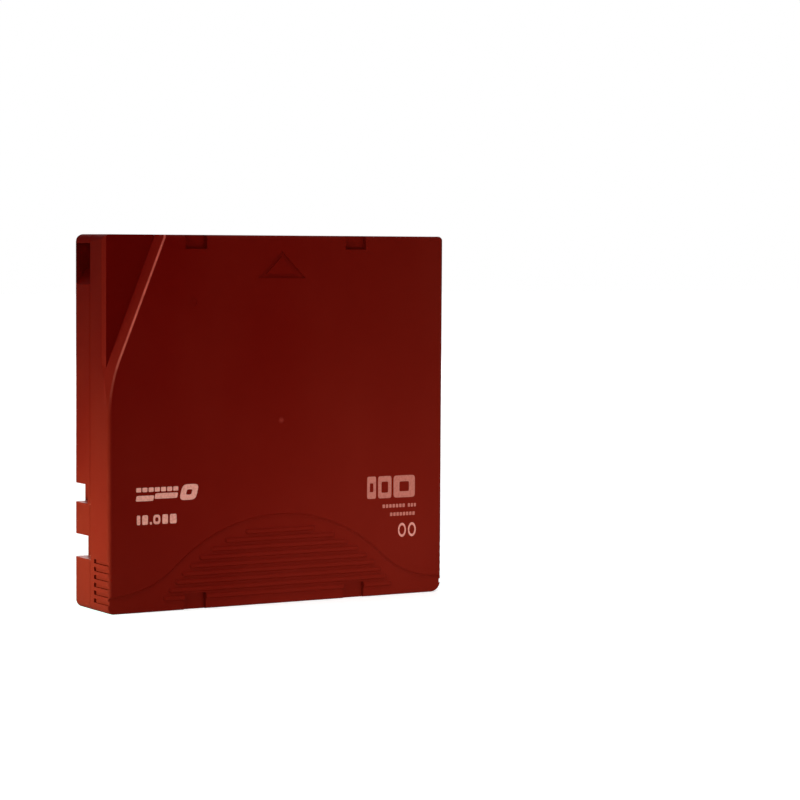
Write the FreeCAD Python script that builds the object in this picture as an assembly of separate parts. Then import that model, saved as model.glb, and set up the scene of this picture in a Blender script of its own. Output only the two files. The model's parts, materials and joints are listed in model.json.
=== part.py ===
"""Single-reel half-inch data tape cartridge.

Millimetres. The cartridge stands on its rear edge:
  X runs across the case, with the access door on the +X side,
  Y runs through its thickness: -Y is the outer face of the upper shell, +Y that of the lower shell,
  Z runs from the rear edge, at zero, to the front edge, which enters the drive first.
Most pieces are laid out in plan (x, z) and by height h above the outer face of the lower shell,
as they are drawn with the case lying flat, and level() turns a height into Y.
"""
import FreeCAD, Part
import math
import os

# ---------------------------------------------------------------- case
WIDTH = 105.4
LENGTH = 102.0
THICKNESS = 21.5
PARTING = 10.0              # height at which the two shells meet
SIDE_WALL = 1.6
FLOOR = 1.5
ROOF = 1.5
LEFT_R = 2.0                # plan corners on the left
RIGHT_FRONT_R = 1.2
RIGHT_REAR_R = 3.0          # plan corner beside the label
LEAST_R = 0.6               # smallest plan corner inside the walls
LOWER_EDGE_R = 1.3          # rounding round the lower shell's outer face
UPPER_EDGE_R = 1.2          # and round the upper shell's
PARTING_BEVEL = 0.25        # on both shells, which leaves a fine groove between them
LIP_HEIGHT = 0.7            # tongue on the lower shell that locates the upper one
LIP_THICK = 0.7
LIP_CLEARANCE = 0.1
LIP_STOP = 3.0              # how far from an opening the tongue stops

# ---------------------------------------------------------------- insertion guide and outer marks
GUIDE_DEPTH = 2.75          # step down at the front left corner of the upper shell
GUIDE_TILT = 22.2           # degrees between the step and the long axis
GUIDE_R = 42.2              # arc that brings the step back to the left edge
GUIDE_RUN = 49.0            # how far behind the front edge the step begins
GUIDE_INSET = 0.5           # how far inside the left edge it begins
GUIDE_DRAFT = 1.85          # how much wider the step is at its floor's edge
GUIDE_BEVEL = 0.7           # width and drop of the bevel along the floor's left edge
GUIDE_BEVEL_DROP = 1.5
CREST_CHAMFER = 0.35
GRIP_DEPTH = 0.45           # sunk field with ribs for the fingers
GRIP_R = 48.0
GRIP_TOP = 25.2
GRIP_TURN = 43.0            # degrees at which the dome turns outwards
GRIP_FLARE_R = 27.0
GRIP_FLARE_END = 6.0
RIB_COUNT = 9
RIB_PITCH = 2.13
RIB_FIRST = 3.4
RIB_WIDTH = 1.4
RIB_CHAMFER = 0.35
RIB_INSET = 3.4             # between the dome and the ends of the ribs
SIDE_RIB_COUNT = 6
SIDE_RIB_FIRST = 3.15
SIDE_RIB_GAP = 1.15
SIDE_RIB_FROM = 12.6
SIDE_RIB_TOP = 0.3          # below the upper face
SIDE_RIB_DEPTH = 0.62
KEY_WIDTH = 6.6             # four small rectangular recesses at the shell's ends
KEY_OFFSET = 25.0
KEY_SHIFT = -1.4            # middle of each pair from the middle of the case
KEY_DEPTH = 1.6
KEY_FRONT = 3.8
KEY_REAR = 4.4
ARROW_FRONT = 4.3           # between the arrow's tip and the front edge
ARROW_HEIGHT = 7.4
ARROW_HALF = 7.4
ARROW_LINE = 1.1
ENGRAVING = 0.35
DIMPLE_R = 1.1              # shallow round mark of an ejector pin
DIMPLE_DEPTH = 0.15
DIMPLE_X = -27.3
DIMPLE_FRONT = 18.2
LABEL_LEFT = 20.7           # margins round the recess for a label in the rear edge
LABEL_RIGHT = 4.7
LABEL_MARGIN = 2.75
LABEL_DEPTH = 0.3

# ---------------------------------------------------------------- notches in the long sides
NOTCH_WALL = 1.1
GRIPPER_Z = 13.9
GRIPPER_LENGTH = 6.4
GRIPPER_DEPTH = 4.1
LOADER_Z = 29.0
LOADER_LENGTH = 5.2
LOADER_DEPTH = 3.2
LOADER_HEIGHT = 8.5
POCKET_BACK = 13.6          # ends of the pocket from the front edge
POCKET_FRONT = 2.4
POCKET_RAMP = 5.8
POCKET_DEPTH = 4.5
POCKET_SOLE = 1.0
SHELF = 1.2

# ---------------------------------------------------------------- reel
REEL_ROOM = 1.1             # between the flanges and the nearest wall or door
FLANGE_THICK = 1.2
TAPE_WIDTH = 12.65
TAPE_SIDE_GAP = 0.2
TAPE_EDGE = 1.45            # flange left bare outside the tape
HUB_R = 22.0
HUB_WALL = 2.1
RING_THICK = 0.9
REEL_LIFT_OFF = 0.9         # lower flange above the case floor's inside
WINDOW_EDGE = 1.4           # between the teeth and the round window in the case
WINDOW_RIM = 1.5
WINDOW_RIM_HEIGHT = 0.6
BOSS_CLEARANCE = 0.4
BOSS_FACE = 1.3             # height of the reel's driven face
TOOTH_COUNT = 60
TOOTH_LENGTH = 3.1
TOOTH_EDGE = 0.6            # from the ends of the teeth to the rim of the braking disc
TOOTH_ROOT = 1.04
TOOTH_TIP = 0.2
DRIVE_TOOTH = 0.8
PLATE_GAP = 0.5             # between the teeth and the plate's seat
PLATE_FIT = 0.05
PLATE_BORE_R = 4.0
PLATE_THICK = 1.0
LEG_COUNT = 3
LEG_INSET = 1.4             # legs' middles from the outer ends of the teeth
LEG_R = 1.0
LEG_CLEARANCE = 0.3
LEG_RECESS = 0.2            # legs stay this far inside the driven face
FIRST_LEG = 90.0            # degrees from +X towards +Z

# ---------------------------------------------------------------- reel brake
PAD_THICK = 1.2
PAD_ARM_THICK = 0.8
PAD_ARM_WIDTH = 4.2
PAD_GAP = 0.1
PAD_CENTRE_R = 6.5
BRAKE_TRAVEL = 1.65
PEDESTAL = 1.15             # engaging teeth stand on arcs this tall
PEDESTAL_SWEEP = 76.0
BRAKE_TOOTH = 1.0
MESH_GAP = 0.2
BRAKE_ROOM = 1.8            # between the braking disc and the ring in the hub
BRAKE_THICK = 2.0
BRAKE_BUTTON_R = 4.5
STEM_R = 6.0
STEM_HEIGHT = 7.6
POST_HALF = 4.0
POST_THICK = 1.3
POST_CLEARANCE = 0.18
POST_REACH = 9.0
SPRING_R = 7.6
SPRING_WIRE = 0.6
SPRING_TURNS = 5
SPRING_SEAT_GAP = 0.1
SPRING_COLLAR_R = 8.6
SPRING_COLLAR_THICK = 1.0
SPRING_COLLAR_HEIGHT = 1.8

# ---------------------------------------------------------------- access door, right side
DOOR_BACK = 24.0            # rear end of the doorway from the front edge
DOOR_LENGTH = 19.0
DOOR_SOLE = 2.2
DOOR_THICK = 1.2
DOOR_OVERLAP_REAR = 1.4
DOOR_OVERLAP_FRONT = 0.6
DOOR_WALL_GAP = 0.3
DOOR_END_GAP = 0.2
DOOR_TRAVEL = 16.0
DOOR_TAB = 2.2
DOOR_TAB_INSET = 0.3
DOOR_TAB_HEIGHT = 4.0
DOOR_RIB_COUNT = 3          # finger ribs on the door
DOOR_RIB_FIRST = 3.0
DOOR_RIB_PITCH = 2.0
DOOR_RIB_THICK = 0.8
DOOR_RIB_HEIGHT = 8.0
OPENER_DEPTH = 1.0
TRACK_THICK = 0.8
TRACK_HEIGHT = 1.0
TRACK_GAP = 0.2
DOOR_SPRING_R = 0.95
DOOR_SPRING_WIRE = 0.3
DOOR_SPRING_TURNS = 11
DOOR_SPRING_HEIGHT = 6.0
DOOR_SPRING_STOP = 44.0
SPRING_PIN_R = 0.45
SPRING_PIN_LENGTH = 3.0
SPRING_FOOT = 1.4

# ---------------------------------------------------------------- leader pin
PIN_FRONT = 11.6            # pin's axis from the front edge
PIN_DOOR_GAP = 1.05         # between the pin's seats and the door
PIN_R = 1.2
PIN_FLANGE_R = 1.9
PIN_FLANGE_THICK = 1.3
PIN_SEAT = 0.8
PIN_END_GAP = 0.15
SEAT_WALL = 0.9
SEAT_HEIGHT = 1.5
SEAT_CLEARANCE = 0.15
CLIP_THICK = 0.5
CLIP_LENGTH = 13.0
LEADER_THICK = 0.1
LEADER_GAP = 0.3
PIN_SPRING_WIRE = 0.5
PIN_SPRING_BACK = 3.6       # how far behind the pin the spring's spine stands
PIN_SPRING_REACH = 2.6
PIN_SPRING_FIT = 0.02       # room round the spring in its posts
PIN_POST_WIDTH = 3.0
PIN_POST_LENGTH = 2.8

# ---------------------------------------------------------------- fastenings and locating holes
SCREW_R = 1.05
SCREW_HEAD_R = 2.0
SCREW_HEAD = 1.2
SCREW_SUNK = 0.4
SCREW_LENGTH = 13.0
SCREW_CLEARANCE = 0.15
SCREW_SLOT = 0.5
SCREW_BOSS_R = 2.8
SCREW_REAR = 9.3            # rear screws from the rear edge
SCREW_REAR_SIDE = 6.4       # and from the sides
SCREW_LEFT = (9.3, 5.2)     # front screws from their side and from the front edge
SCREW_RIGHT = (14.1, 4.6)
SCREW_RECESS = 1.2          # half the length of a screw's cross
DATUM_R = 2.0
DATUM_DEPTH = 3.5
DATUM_WALL = 1.5
DATUM_SIDE = 17.7           # locating holes from the sides and the front edge
DATUM_FRONT = 11.4
DATUM_SLOT = 1.0
BUMPER_GAP = 0.9            # between the reel and the curved ribs that keep dust from it
BUMPER_THICK = 1.0
BUMPER_FROM = 22.0

# ---------------------------------------------------------------- write-protect switch
SWITCH_SIDE = 12.2          # middle of its window from the left side
SWITCH_TRAVEL = 4.0
SWITCH_KNOB = 3.8
SWITCH_SIDE_GAP = 0.2
SWITCH_COVER = 0.4
SWITCH_SOLE = 5.0
SWITCH_GAP = 0.15
SWITCH_THICK = 1.6
SWITCH_RAIL = 1.0
SWITCH_RISE = 1.0           # how far the slide stands into the upper shell
SWITCH_GROOVE = 0.4

# ---------------------------------------------------------------- memory
BOARD_LENGTH = 18.0
BOARD_WIDTH = 7.4
BOARD_THICK = 0.5
BOARD_SIDE = 18.0           # middle of the board from the right side
CHIP_SIZE = 3.0
CHIP_THICK = 0.8
BOARD_REST = 1.4
BOARD_REST_WIDTH = 1.2
BOARD_REST_GAP = 0.05
BOARD_FLOOR_GAP = 0.3
BOARD_WALL_GAP = 0.5
CHIP_SHARE = 0.2            # how far along the board the chip sits

# ---------------------------------------------------------------- worked out from the sizes above
HALF_W = WIDTH / 2
HALF_T = THICKNESS / 2
CEILING = THICKNESS - ROOF
WALL_INSIDE = HALF_W - SIDE_WALL
GUIDE_START = LENGTH - GUIDE_RUN
RIB_FIELD_R = GRIP_R - RIB_INSET
POCKET_Z = LENGTH - POCKET_BACK
POCKET_END = LENGTH - POCKET_FRONT
REEL_Z = LENGTH / 2
FLANGE_R = min(LENGTH / 2, HALF_W - DOOR_WALL_GAP - DOOR_THICK) - SIDE_WALL - REEL_ROOM
TAPE_R = FLANGE_R - TAPE_EDGE
BUMPER_R = FLANGE_R + BUMPER_GAP
HUB_BORE_R = HUB_R - HUB_WALL
BRAKE_R = HUB_BORE_R - RING_THICK - BRAKE_ROOM
TOOTH_R_OUT = BRAKE_R - TOOTH_EDGE
TOOTH_R_IN = TOOTH_R_OUT - TOOTH_LENGTH
WINDOW_R = TOOTH_R_OUT + WINDOW_EDGE
PLATE_R = TOOTH_R_IN - PLATE_GAP
LEG_CIRCLE_R = TOOTH_R_OUT - LEG_INSET
SINK = 0.05                 # how far an added feature starts inside the wall that carries it
LOWER_FLANGE = FLOOR + REEL_LIFT_OFF
FLANGE_TOP = LOWER_FLANGE + FLANGE_THICK
TAPE_BAY = TAPE_WIDTH + 2 * TAPE_SIDE_GAP
UPPER_FLANGE = FLANGE_TOP + TAPE_BAY
TOOTH_STEP = 360.0 / TOOTH_COUNT
PEDESTAL_TOP = FLANGE_TOP + PEDESTAL
BRAKE_FACE = PEDESTAL_TOP + BRAKE_TOOTH + MESH_GAP - SINK
BRAKE_TOP = BRAKE_FACE + BRAKE_THICK
DOOR_Z = LENGTH - DOOR_BACK
DOOR_OUTER = WALL_INSIDE - DOOR_WALL_GAP
DOOR_INNER = DOOR_OUTER - DOOR_THICK
DOOR_REAR = DOOR_Z - DOOR_OVERLAP_REAR
DOOR_FRONT = DOOR_Z + DOOR_LENGTH + DOOR_OVERLAP_FRONT
DOOR_SPRING_X = DOOR_OUTER - DOOR_SPRING_R - DOOR_SPRING_WIRE / 2
PIN_X = DOOR_INNER - PIN_DOOR_GAP - SEAT_WALL - SEAT_CLEARANCE - PIN_FLANGE_R
PIN_Z = LENGTH - PIN_FRONT
DATUM_X = HALF_W - DATUM_SIDE
DATUM_Z = LENGTH - DATUM_FRONT
BOARD_X = HALF_W - BOARD_SIDE
SWITCH_X = -HALF_W + SWITCH_SIDE
SCREW_PLACES = ((-HALF_W + SCREW_LEFT[0], LENGTH - SCREW_LEFT[1]),
                (HALF_W - SCREW_RIGHT[0], LENGTH - SCREW_RIGHT[1]),
                (-HALF_W + SCREW_REAR_SIDE, SCREW_REAR), (HALF_W - SCREW_REAR_SIDE, SCREW_REAR))
SCREW_TOP = SCREW_SUNK + SCREW_HEAD + SCREW_LENGTH
SWITCH_WINDOW = SWITCH_KNOB + SWITCH_TRAVEL + 2 * SWITCH_SIDE_GAP


# ================================================================ drawing helpers
def level(height):
    """Y of a height above the lower shell's outer face."""
    return HALF_T - height


def at(x, height, z):
    return FreeCAD.Vector(x, level(height), z)


UP = FreeCAD.Vector(0, -1, 0)
ALONG = FreeCAD.Vector(0, 0, 1)


def block(x_from, x_to, low, high, z_from, z_to):
    """Box between two values of x, two heights and two values of z."""
    return Part.makeBox(x_to - x_from, high - low, z_to - z_from, at(x_from, high, z_from))


def disc(radius, low, high, x=0.0, z=REEL_Z):
    """Cylinder whose axis runs through the thickness of the case."""
    return Part.makeCylinder(radius, high - low, at(x, low, z), UP)


def ring(outer, inner, low, high, x=0.0, z=REEL_Z):
    return disc(outer, low, high, x, z).cut(disc(inner, low - 1, high + 1, x, z))


def rise(wire, height):
    """Solid made by lifting a closed plan outline by a height."""
    return Part.Face(wire).extrude(UP * height)


def rounded_wire(corners, low):
    """Closed plan outline through (x, z, radius) corners at a height."""
    points = [at(x, low, z) for x, z, radius in corners]
    arcs = []
    for index, (x, z, radius) in enumerate(corners):
        here = points[index]
        back = (points[index - 1] - here).normalize()
        ahead = (points[(index + 1) % len(points)] - here).normalize()
        half_angle = back.getAngle(ahead) / 2
        setback = radius / math.tan(half_angle)
        inwards = (back + ahead).normalize() if radius > 0 else back
        middle = here + inwards * (radius / math.sin(half_angle) - radius)
        arcs.append((here + back * setback, middle, here + ahead * setback, radius))
    edges = []
    for index, (start, middle, end, radius) in enumerate(arcs):
        if radius > 0:
            edges.append(Part.Arc(start, middle, end).toShape())
        following = arcs[(index + 1) % len(arcs)][0]
        edges.append(Part.LineSegment(end, following).toShape())
    return Part.Wire(edges)


def plate(corners, low, high):
    """Prism between two heights over (x, z, radius) corners."""
    return rise(rounded_wire(corners, low), high - low)


def sharp(points):
    return [(x, z, 0.0) for x, z in points]


def case_block(inset, low, high):
    """The case's plan outline, drawn in by an inset, between two heights."""
    half = HALF_W - inset
    left, right_rear, right_front = [max(radius - inset, LEAST_R)
                                     for radius in (LEFT_R, RIGHT_REAR_R, RIGHT_FRONT_R)]
    corners = [(-half, inset, left), (half, inset, right_rear),
               (half, LENGTH - inset, right_front), (-half, LENGTH - inset, left)]
    return plate(corners, low, high)


def turned(shape, degrees, x=0.0, z=REEL_Z):
    """Copy of a shape turned round an axis through the case's thickness."""
    copy = shape.copy()
    copy.rotate(at(x, 0, z), UP, degrees)
    return copy


def edges_where(shape, test):
    """Edges whose two ends and middle all pass a test on (x, height, z)."""
    chosen = []
    for edge in shape.Edges:
        middle = edge.valueAt((edge.FirstParameter + edge.LastParameter) / 2)
        points = [vertex.Point for vertex in edge.Vertexes] + [middle]
        if all(test(point.x, HALF_T - point.y, point.z) for point in points):
            chosen.append(edge)
    return chosen


def near(value, target, tolerance=0.01):
    return abs(value - target) < tolerance


def one_solid(shape):
    """The single solid of a boolean result, with seams between like faces removed."""
    return shape.removeSplitter().Solids[0]


def save(name, *solids):
    shape = solids[0] if len(solids) == 1 else Part.makeCompound(list(solids))
    shape.exportStep(os.path.join("parts", name + ".step"))
    print(name, len(shape.Solids), "solid(s)", round(shape.Volume, 1), "mm3", shape.isValid())


def coil(radius, wire, turns, start, direction, length):
    """Helical spring of square wire, its axis along a direction from a start point."""
    helix = Part.makeHelix(length / turns, length, radius)
    half = wire / 2
    square = Part.makePolygon([FreeCAD.Vector(radius + x, 0, z) for x, z in
                               ((-half, -half), (half, -half), (half, half), (-half, half),
                                (-half, -half))])
    spring = Part.Wire(helix.Edges).makePipeShell([square], True, True)
    spring.Placement = FreeCAD.Placement(start, FreeCAD.Rotation(FreeCAD.Vector(0, 0, 1), direction))
    return spring.Solids[0]


# ================================================================ shared outlines
def guide_wire(offset, low):
    """Insertion guide's outline; a positive offset moves its step towards the left edge."""
    margin = 3.0
    radius = GUIDE_R + offset
    tilt = math.radians(GUIDE_TILT)
    centre_x = -HALF_W + GUIDE_INSET + GUIDE_R
    arc_start = at(centre_x - radius, low, GUIDE_START)
    arc_middle = at(centre_x - radius * math.cos(tilt / 2), low,
                    GUIDE_START + radius * math.sin(tilt / 2))
    arc_end = at(centre_x - radius * math.cos(tilt), low, GUIDE_START + radius * math.sin(tilt))
    run = LENGTH + margin - arc_end.z
    top = arc_end + FreeCAD.Vector(run * math.tan(tilt), 0, run)
    far = at(-HALF_W - margin, low, LENGTH + margin)
    near_end = at(-HALF_W - margin, low, GUIDE_START)
    corners = [arc_end, top, far, near_end, arc_start]
    edges = [Part.Arc(arc_start, arc_middle, arc_end).toShape()]
    edges += [Part.LineSegment(a, b).toShape() for a, b in zip(corners, corners[1:])]
    return Part.Wire(edges)


def guide_cutter(depth):
    """Drafted solid that is taken off the upper shell's front left corner, down to a depth."""
    over = 1.0
    slope = GUIDE_DRAFT / GUIDE_DEPTH
    floor_wire = guide_wire(depth * slope, THICKNESS - depth)
    top_wire = guide_wire(-over * slope, THICKNESS + over)
    return Part.makeLoft([floor_wire, top_wire], True, True)


def crest_cutter():
    """Flatter chamfer along the crest of the guide's step."""
    low = THICKNESS - CREST_CHAMFER
    over = 1.0
    spread = CREST_CHAMFER * GUIDE_DRAFT / GUIDE_DEPTH
    flat = guide_wire(spread, low)
    wide = guide_wire(spread - (CREST_CHAMFER + over) * math.tan(math.radians(60)), THICKNESS + over)
    return Part.makeLoft([flat, wide], True, True)


def guide_bevel():
    """Bevel of the left edge along the guide's floor, which dies out against the step."""
    floor_height = THICKNESS - GUIDE_DEPTH
    foot = floor_height - GUIDE_BEVEL_DROP
    inside = -HALF_W + GUIDE_BEVEL
    outside = -HALF_W - 1
    section = [(-HALF_W, foot), (inside, floor_height), (inside, floor_height + 1),
               (outside, floor_height + 1), (outside, foot)]
    corners = [at(x, height, GUIDE_START) for x, height in section]
    wedge = Part.Face(Part.makePolygon(corners + corners[:1]))
    wedge = wedge.extrude(ALONG * (GUIDE_RUN + 1))
    return wedge.common(guide_cutter(GUIDE_DEPTH + GUIDE_BEVEL_DROP))


def grip_field():
    """Dome-shaped field, flared out to both sides, that is sunk into the upper shell."""
    low = THICKNESS - GRIP_DEPTH
    centre_z = GRIP_TOP - GRIP_R
    turn = math.radians(GRIP_TURN)
    end = math.radians(GRIP_FLARE_END)
    shoulder = (GRIP_R * math.sin(turn), centre_z + GRIP_R * math.cos(turn))
    reach = GRIP_R + GRIP_FLARE_R
    flare = (reach * math.sin(turn), centre_z + reach * math.cos(turn))

    def flare_point(angle, side):
        return at(side * (flare[0] - GRIP_FLARE_R * math.sin(angle)), low,
                  flare[1] - GRIP_FLARE_R * math.cos(angle))

    out = HALF_W + 2
    foot = flare_point(end, 1)
    edge_z = foot.z - (out - foot.x) * math.tan(end)
    left, right = at(-shoulder[0], low, shoulder[1]), at(shoulder[0], low, shoulder[1])
    path = [Part.Arc(left, at(0, low, GRIP_TOP), right).toShape(),
            Part.Arc(right, flare_point((turn + end) / 2, 1), foot).toShape()]
    corners = [foot, at(out, low, edge_z), at(out, low, -2), at(-out, low, -2),
               at(-out, low, edge_z), flare_point(end, -1)]
    path += [Part.LineSegment(a, b).toShape() for a, b in zip(corners, corners[1:])]
    path.append(Part.Arc(flare_point(end, -1), flare_point((turn + end) / 2, -1), left).toShape())
    field = rise(Part.Wire(path), GRIP_DEPTH + 1)
    return field.makeChamfer(GRIP_DEPTH, edges_where(field, lambda x, h, z: near(h, low)))


def grip_ribs():
    """Rounded ribs of the grip field, their ends on a circle that follows the dome."""
    centre_z = GRIP_TOP - GRIP_R
    ribs = []
    for index in range(RIB_COUNT):
        z = RIB_FIRST + index * RIB_PITCH
        half = math.sqrt(RIB_FIELD_R ** 2 - (z - centre_z) ** 2)
        side = RIB_WIDTH / 2
        end_r = side - SINK / 5
        corners = [(-half, z - side, end_r), (half, z - side, end_r),
                   (half, z + side, end_r), (-half, z + side, end_r)]
        rib = plate(corners, THICKNESS - GRIP_DEPTH - SINK, THICKNESS)
        rims = edges_where(rib, lambda x, h, z: near(h, THICKNESS))
        ribs.append(rib.makeChamfer(RIB_CHAMFER, rims))
    return ribs


def pocket_outline(grow):
    """Plan of the ramped pocket in the left side, grown by a wall."""
    outside = -HALF_W - 1
    deep = -HALF_W + POCKET_DEPTH + grow
    ramp = POCKET_RAMP / POCKET_DEPTH
    return sharp([(outside, POCKET_Z - ramp - grow), (deep, POCKET_Z - grow + POCKET_RAMP),
                  (deep, POCKET_END + grow), (outside, POCKET_END + grow)])


def notch(side, z, length, depth, top, grow=0.0, low=-1.0):
    """Notch in a long side, seen as the block that it takes away, grown by a wall."""
    inner = HALF_W - depth - grow
    outer = HALF_W + 1
    x_from, x_to = (inner, outer) if side > 0 else (-outer, -inner)
    return block(x_from, x_to, low, top, z - grow, z + length + grow)


def side_cuts(grow=0.0, low=-1.0):
    """Every notch and the pocket in the lower shell's sides."""
    sole = POCKET_SOLE if grow == 0 else low
    over = PARTING + 1
    loader_top = over if grow else LOADER_HEIGHT
    return [notch(-1, GRIPPER_Z, GRIPPER_LENGTH, GRIPPER_DEPTH, over, grow, low),
            notch(1, GRIPPER_Z, GRIPPER_LENGTH, GRIPPER_DEPTH, over, grow, low),
            notch(-1, LOADER_Z, LOADER_LENGTH, LOADER_DEPTH, loader_top, grow, low),
            plate(pocket_outline(grow), sole, over)]


def bumpers(low, high):
    """Curved ribs round the reel in the three corners away from the tape path."""
    band = ring(BUMPER_R + BUMPER_THICK, BUMPER_R, low, high)
    quarters = ((-1, -1), (1, -1), (-1, 1))
    ribs = []
    for side, end in quarters:
        x_from, x_to = sorted((side * BUMPER_FROM, side * HALF_W))
        z_from, z_to = sorted((REEL_Z + end * BUMPER_FROM, REEL_Z + end * LENGTH / 2))
        corner = block(x_from, x_to, low, high, z_from, z_to)
        ribs.append(band.common(corner))
    return ribs


def door_window():
    return block(WALL_INSIDE - 1, HALF_W + 1, DOOR_SOLE, THICKNESS - DOOR_SOLE, DOOR_Z,
                 DOOR_Z + DOOR_LENGTH)


def opener_groove():
    """Groove in the right side through which the drive's finger reaches the door's tab."""
    top = PARTING + DOOR_TAB_HEIGHT + 2 * DOOR_END_GAP
    return block(HALF_W - OPENER_DEPTH, HALF_W + 1, PARTING, top, DOOR_Z + DOOR_LENGTH - 1, LENGTH + 1)


def door_tracks(low, high):
    """Rail that keeps the door against the right wall."""
    outer = DOOR_INNER - TRACK_GAP
    start = DOOR_REAR - DOOR_TRAVEL
    return block(outer - TRACK_THICK, outer, low, high, start, DOOR_FRONT)


def pin_seat(low, high):
    """U-shaped seat for one end of the leader pin, open towards the door."""
    inner = PIN_FLANGE_R + SEAT_CLEARANCE
    outer = inner + SEAT_WALL
    seat = disc(outer, low, high, PIN_X, PIN_Z)
    seat = seat.fuse(block(PIN_X, PIN_X + outer, low, high, PIN_Z - outer, PIN_Z + outer))
    seat = seat.cut(disc(inner, low - 1, high + 1, PIN_X, PIN_Z))
    return seat.cut(block(PIN_X, PIN_X + outer + 1, low - 1, high + 1, PIN_Z - inner, PIN_Z + inner))


def pin_pad(low, high):
    return disc(PIN_FLANGE_R + SEAT_CLEARANCE + SINK, low, high, PIN_X, PIN_Z)


def switch_window():
    half = SWITCH_WINDOW / 2
    return block(SWITCH_X - half, SWITCH_X + half, SWITCH_SOLE, PARTING + 1, -1, SIDE_WALL + 1)


def tooth(r_in, r_out, root_height, tip_height):
    """One straight radial tooth of trapezoid section, pointing along +X from the reel's axis."""
    half_root, half_tip = TOOTH_ROOT / 2, TOOTH_TIP / 2
    corners = [at(r_in, root_height, REEL_Z - half_root), at(r_in, tip_height, REEL_Z - half_tip),
               at(r_in, tip_height, REEL_Z + half_tip), at(r_in, root_height, REEL_Z + half_root)]
    section = Part.makePolygon(corners + corners[:1])
    return Part.Face(section).extrude(FreeCAD.Vector(r_out - r_in, 0, 0))


def tooth_ring(root_height, tip_height, offset=0.0, kept=lambda angle: True):
    """Face teeth all round, less those whose angle is not kept."""
    first = tooth(TOOTH_R_IN, TOOTH_R_OUT, root_height, tip_height)
    angles = [index * TOOTH_STEP + offset for index in range(TOOTH_COUNT)]
    return [turned(first, angle) for angle in angles if kept(angle)]


def leg_places():
    """Angles of the release pad's legs, counted from +X towards +Z."""
    return [FIRST_LEG + index * 360.0 / LEG_COUNT for index in range(LEG_COUNT)]


def off_leg(angle):
    """Distance in degrees from the nearest leg."""
    step = 360.0 / LEG_COUNT
    return abs((angle - leg_places()[0] + step / 2) % step - step / 2)


# ================================================================ the two shells
def screw_boss(x, z, low, high):
    return disc(SCREW_BOSS_R, low, high, x, z)


def lower_shell():
    tray = case_block(0, 0, PARTING)
    tray = tray.makeFillet(LOWER_EDGE_R, edges_where(tray, lambda x, h, z: near(h, 0)))
    tray = tray.makeChamfer(PARTING_BEVEL, edges_where(tray, lambda x, h, z: near(h, PARTING)))
    hollow = case_block(SIDE_WALL, FLOOR, PARTING + 1)
    for wall in side_cuts(NOTCH_WALL, FLOOR - SINK):
        hollow = hollow.cut(wall)
    tray = tray.cut(hollow)
    added = bumpers(FLOOR - SINK, PARTING)
    added.append(disc(WINDOW_R + WINDOW_RIM, FLOOR - SINK, FLOOR + WINDOW_RIM_HEIGHT))
    added += [screw_boss(x, z, FLOOR - SINK, PARTING) for x, z in SCREW_PLACES]
    added += datum_bosses()
    added.append(door_tracks(FLOOR - SINK, FLOOR + TRACK_HEIGHT))
    added.append(pin_seat(FLOOR - SINK, FLOOR + PIN_SEAT + SEAT_HEIGHT))
    added.append(pin_pad(FLOOR - SINK, FLOOR + PIN_SEAT))
    added += spring_stop()
    added.append(pin_spring_post(FLOOR - SINK, FLOOR + PIN_SEAT + SEAT_HEIGHT))
    added += switch_rails()
    added += board_rests()
    tray = tray.fuse(added)
    cuts = side_cuts() + [disc(WINDOW_R, -1, PARTING), door_window(), switch_window(), label_recess()]
    for x, z in SCREW_PLACES:
        cuts.append(disc(SCREW_R + SCREW_CLEARANCE, -1, PARTING + 1, x, z))
        cuts.append(disc(SCREW_HEAD_R + SCREW_CLEARANCE, -1, SCREW_SUNK + SCREW_HEAD, x, z))
    cuts += datum_holes()
    cuts.append(pin_spring_groove())
    tray = tray.cut(cuts)
    return one_solid(tray.fuse(case_lip(0.0)))


def case_lip(clearance):
    """Tongue along the parting line, or with a clearance the rabbet that takes it."""
    outer = SIDE_WALL - LIP_THICK - clearance
    top = PARTING + LIP_HEIGHT + clearance
    low = PARTING - (SINK if clearance == 0 else 1)
    lip = case_block(outer, low, top).cut(case_block(SIDE_WALL, low - 1, top + 1))
    left, right = -WALL_INSIDE + 1, WALL_INSIDE - 1
    notch_from = GRIPPER_Z - LIP_STOP
    switch_half = SWITCH_WINDOW / 2 + LIP_STOP
    gaps = [block(-HALF_W, left, low, top, notch_from, LOADER_Z + LOADER_LENGTH + LIP_STOP),
            block(-HALF_W, left + POCKET_DEPTH, low, top, POCKET_Z - LIP_STOP, LENGTH),
            block(right, HALF_W, low, top, notch_from, GRIPPER_Z + GRIPPER_LENGTH + LIP_STOP),
            block(right, HALF_W, low, top, DOOR_Z - LIP_STOP, LENGTH),
            block(SWITCH_X - switch_half, SWITCH_X + switch_half, low, top, 0, SIDE_WALL + 1)]
    return lip.cut(gaps)


def datum_bosses():
    """Bosses for the round and the slotted locating hole, which open in the lower face."""
    radius = DATUM_R + DATUM_WALL
    top = DATUM_DEPTH + DATUM_WALL
    return [disc(radius, FLOOR - SINK, top, side * DATUM_X, DATUM_Z) for side in (-1, 1)]


def datum_holes():
    right = block(DATUM_X - DATUM_SLOT / 2, DATUM_X + DATUM_SLOT / 2, -1, DATUM_DEPTH,
                  DATUM_Z - DATUM_R, DATUM_Z + DATUM_R)
    ends = [disc(DATUM_R, -1, DATUM_DEPTH, DATUM_X + side * DATUM_SLOT / 2, DATUM_Z) for side in (-1, 1)]
    return [disc(DATUM_R, -1, DATUM_DEPTH, -DATUM_X, DATUM_Z), right.fuse(ends)]


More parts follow.
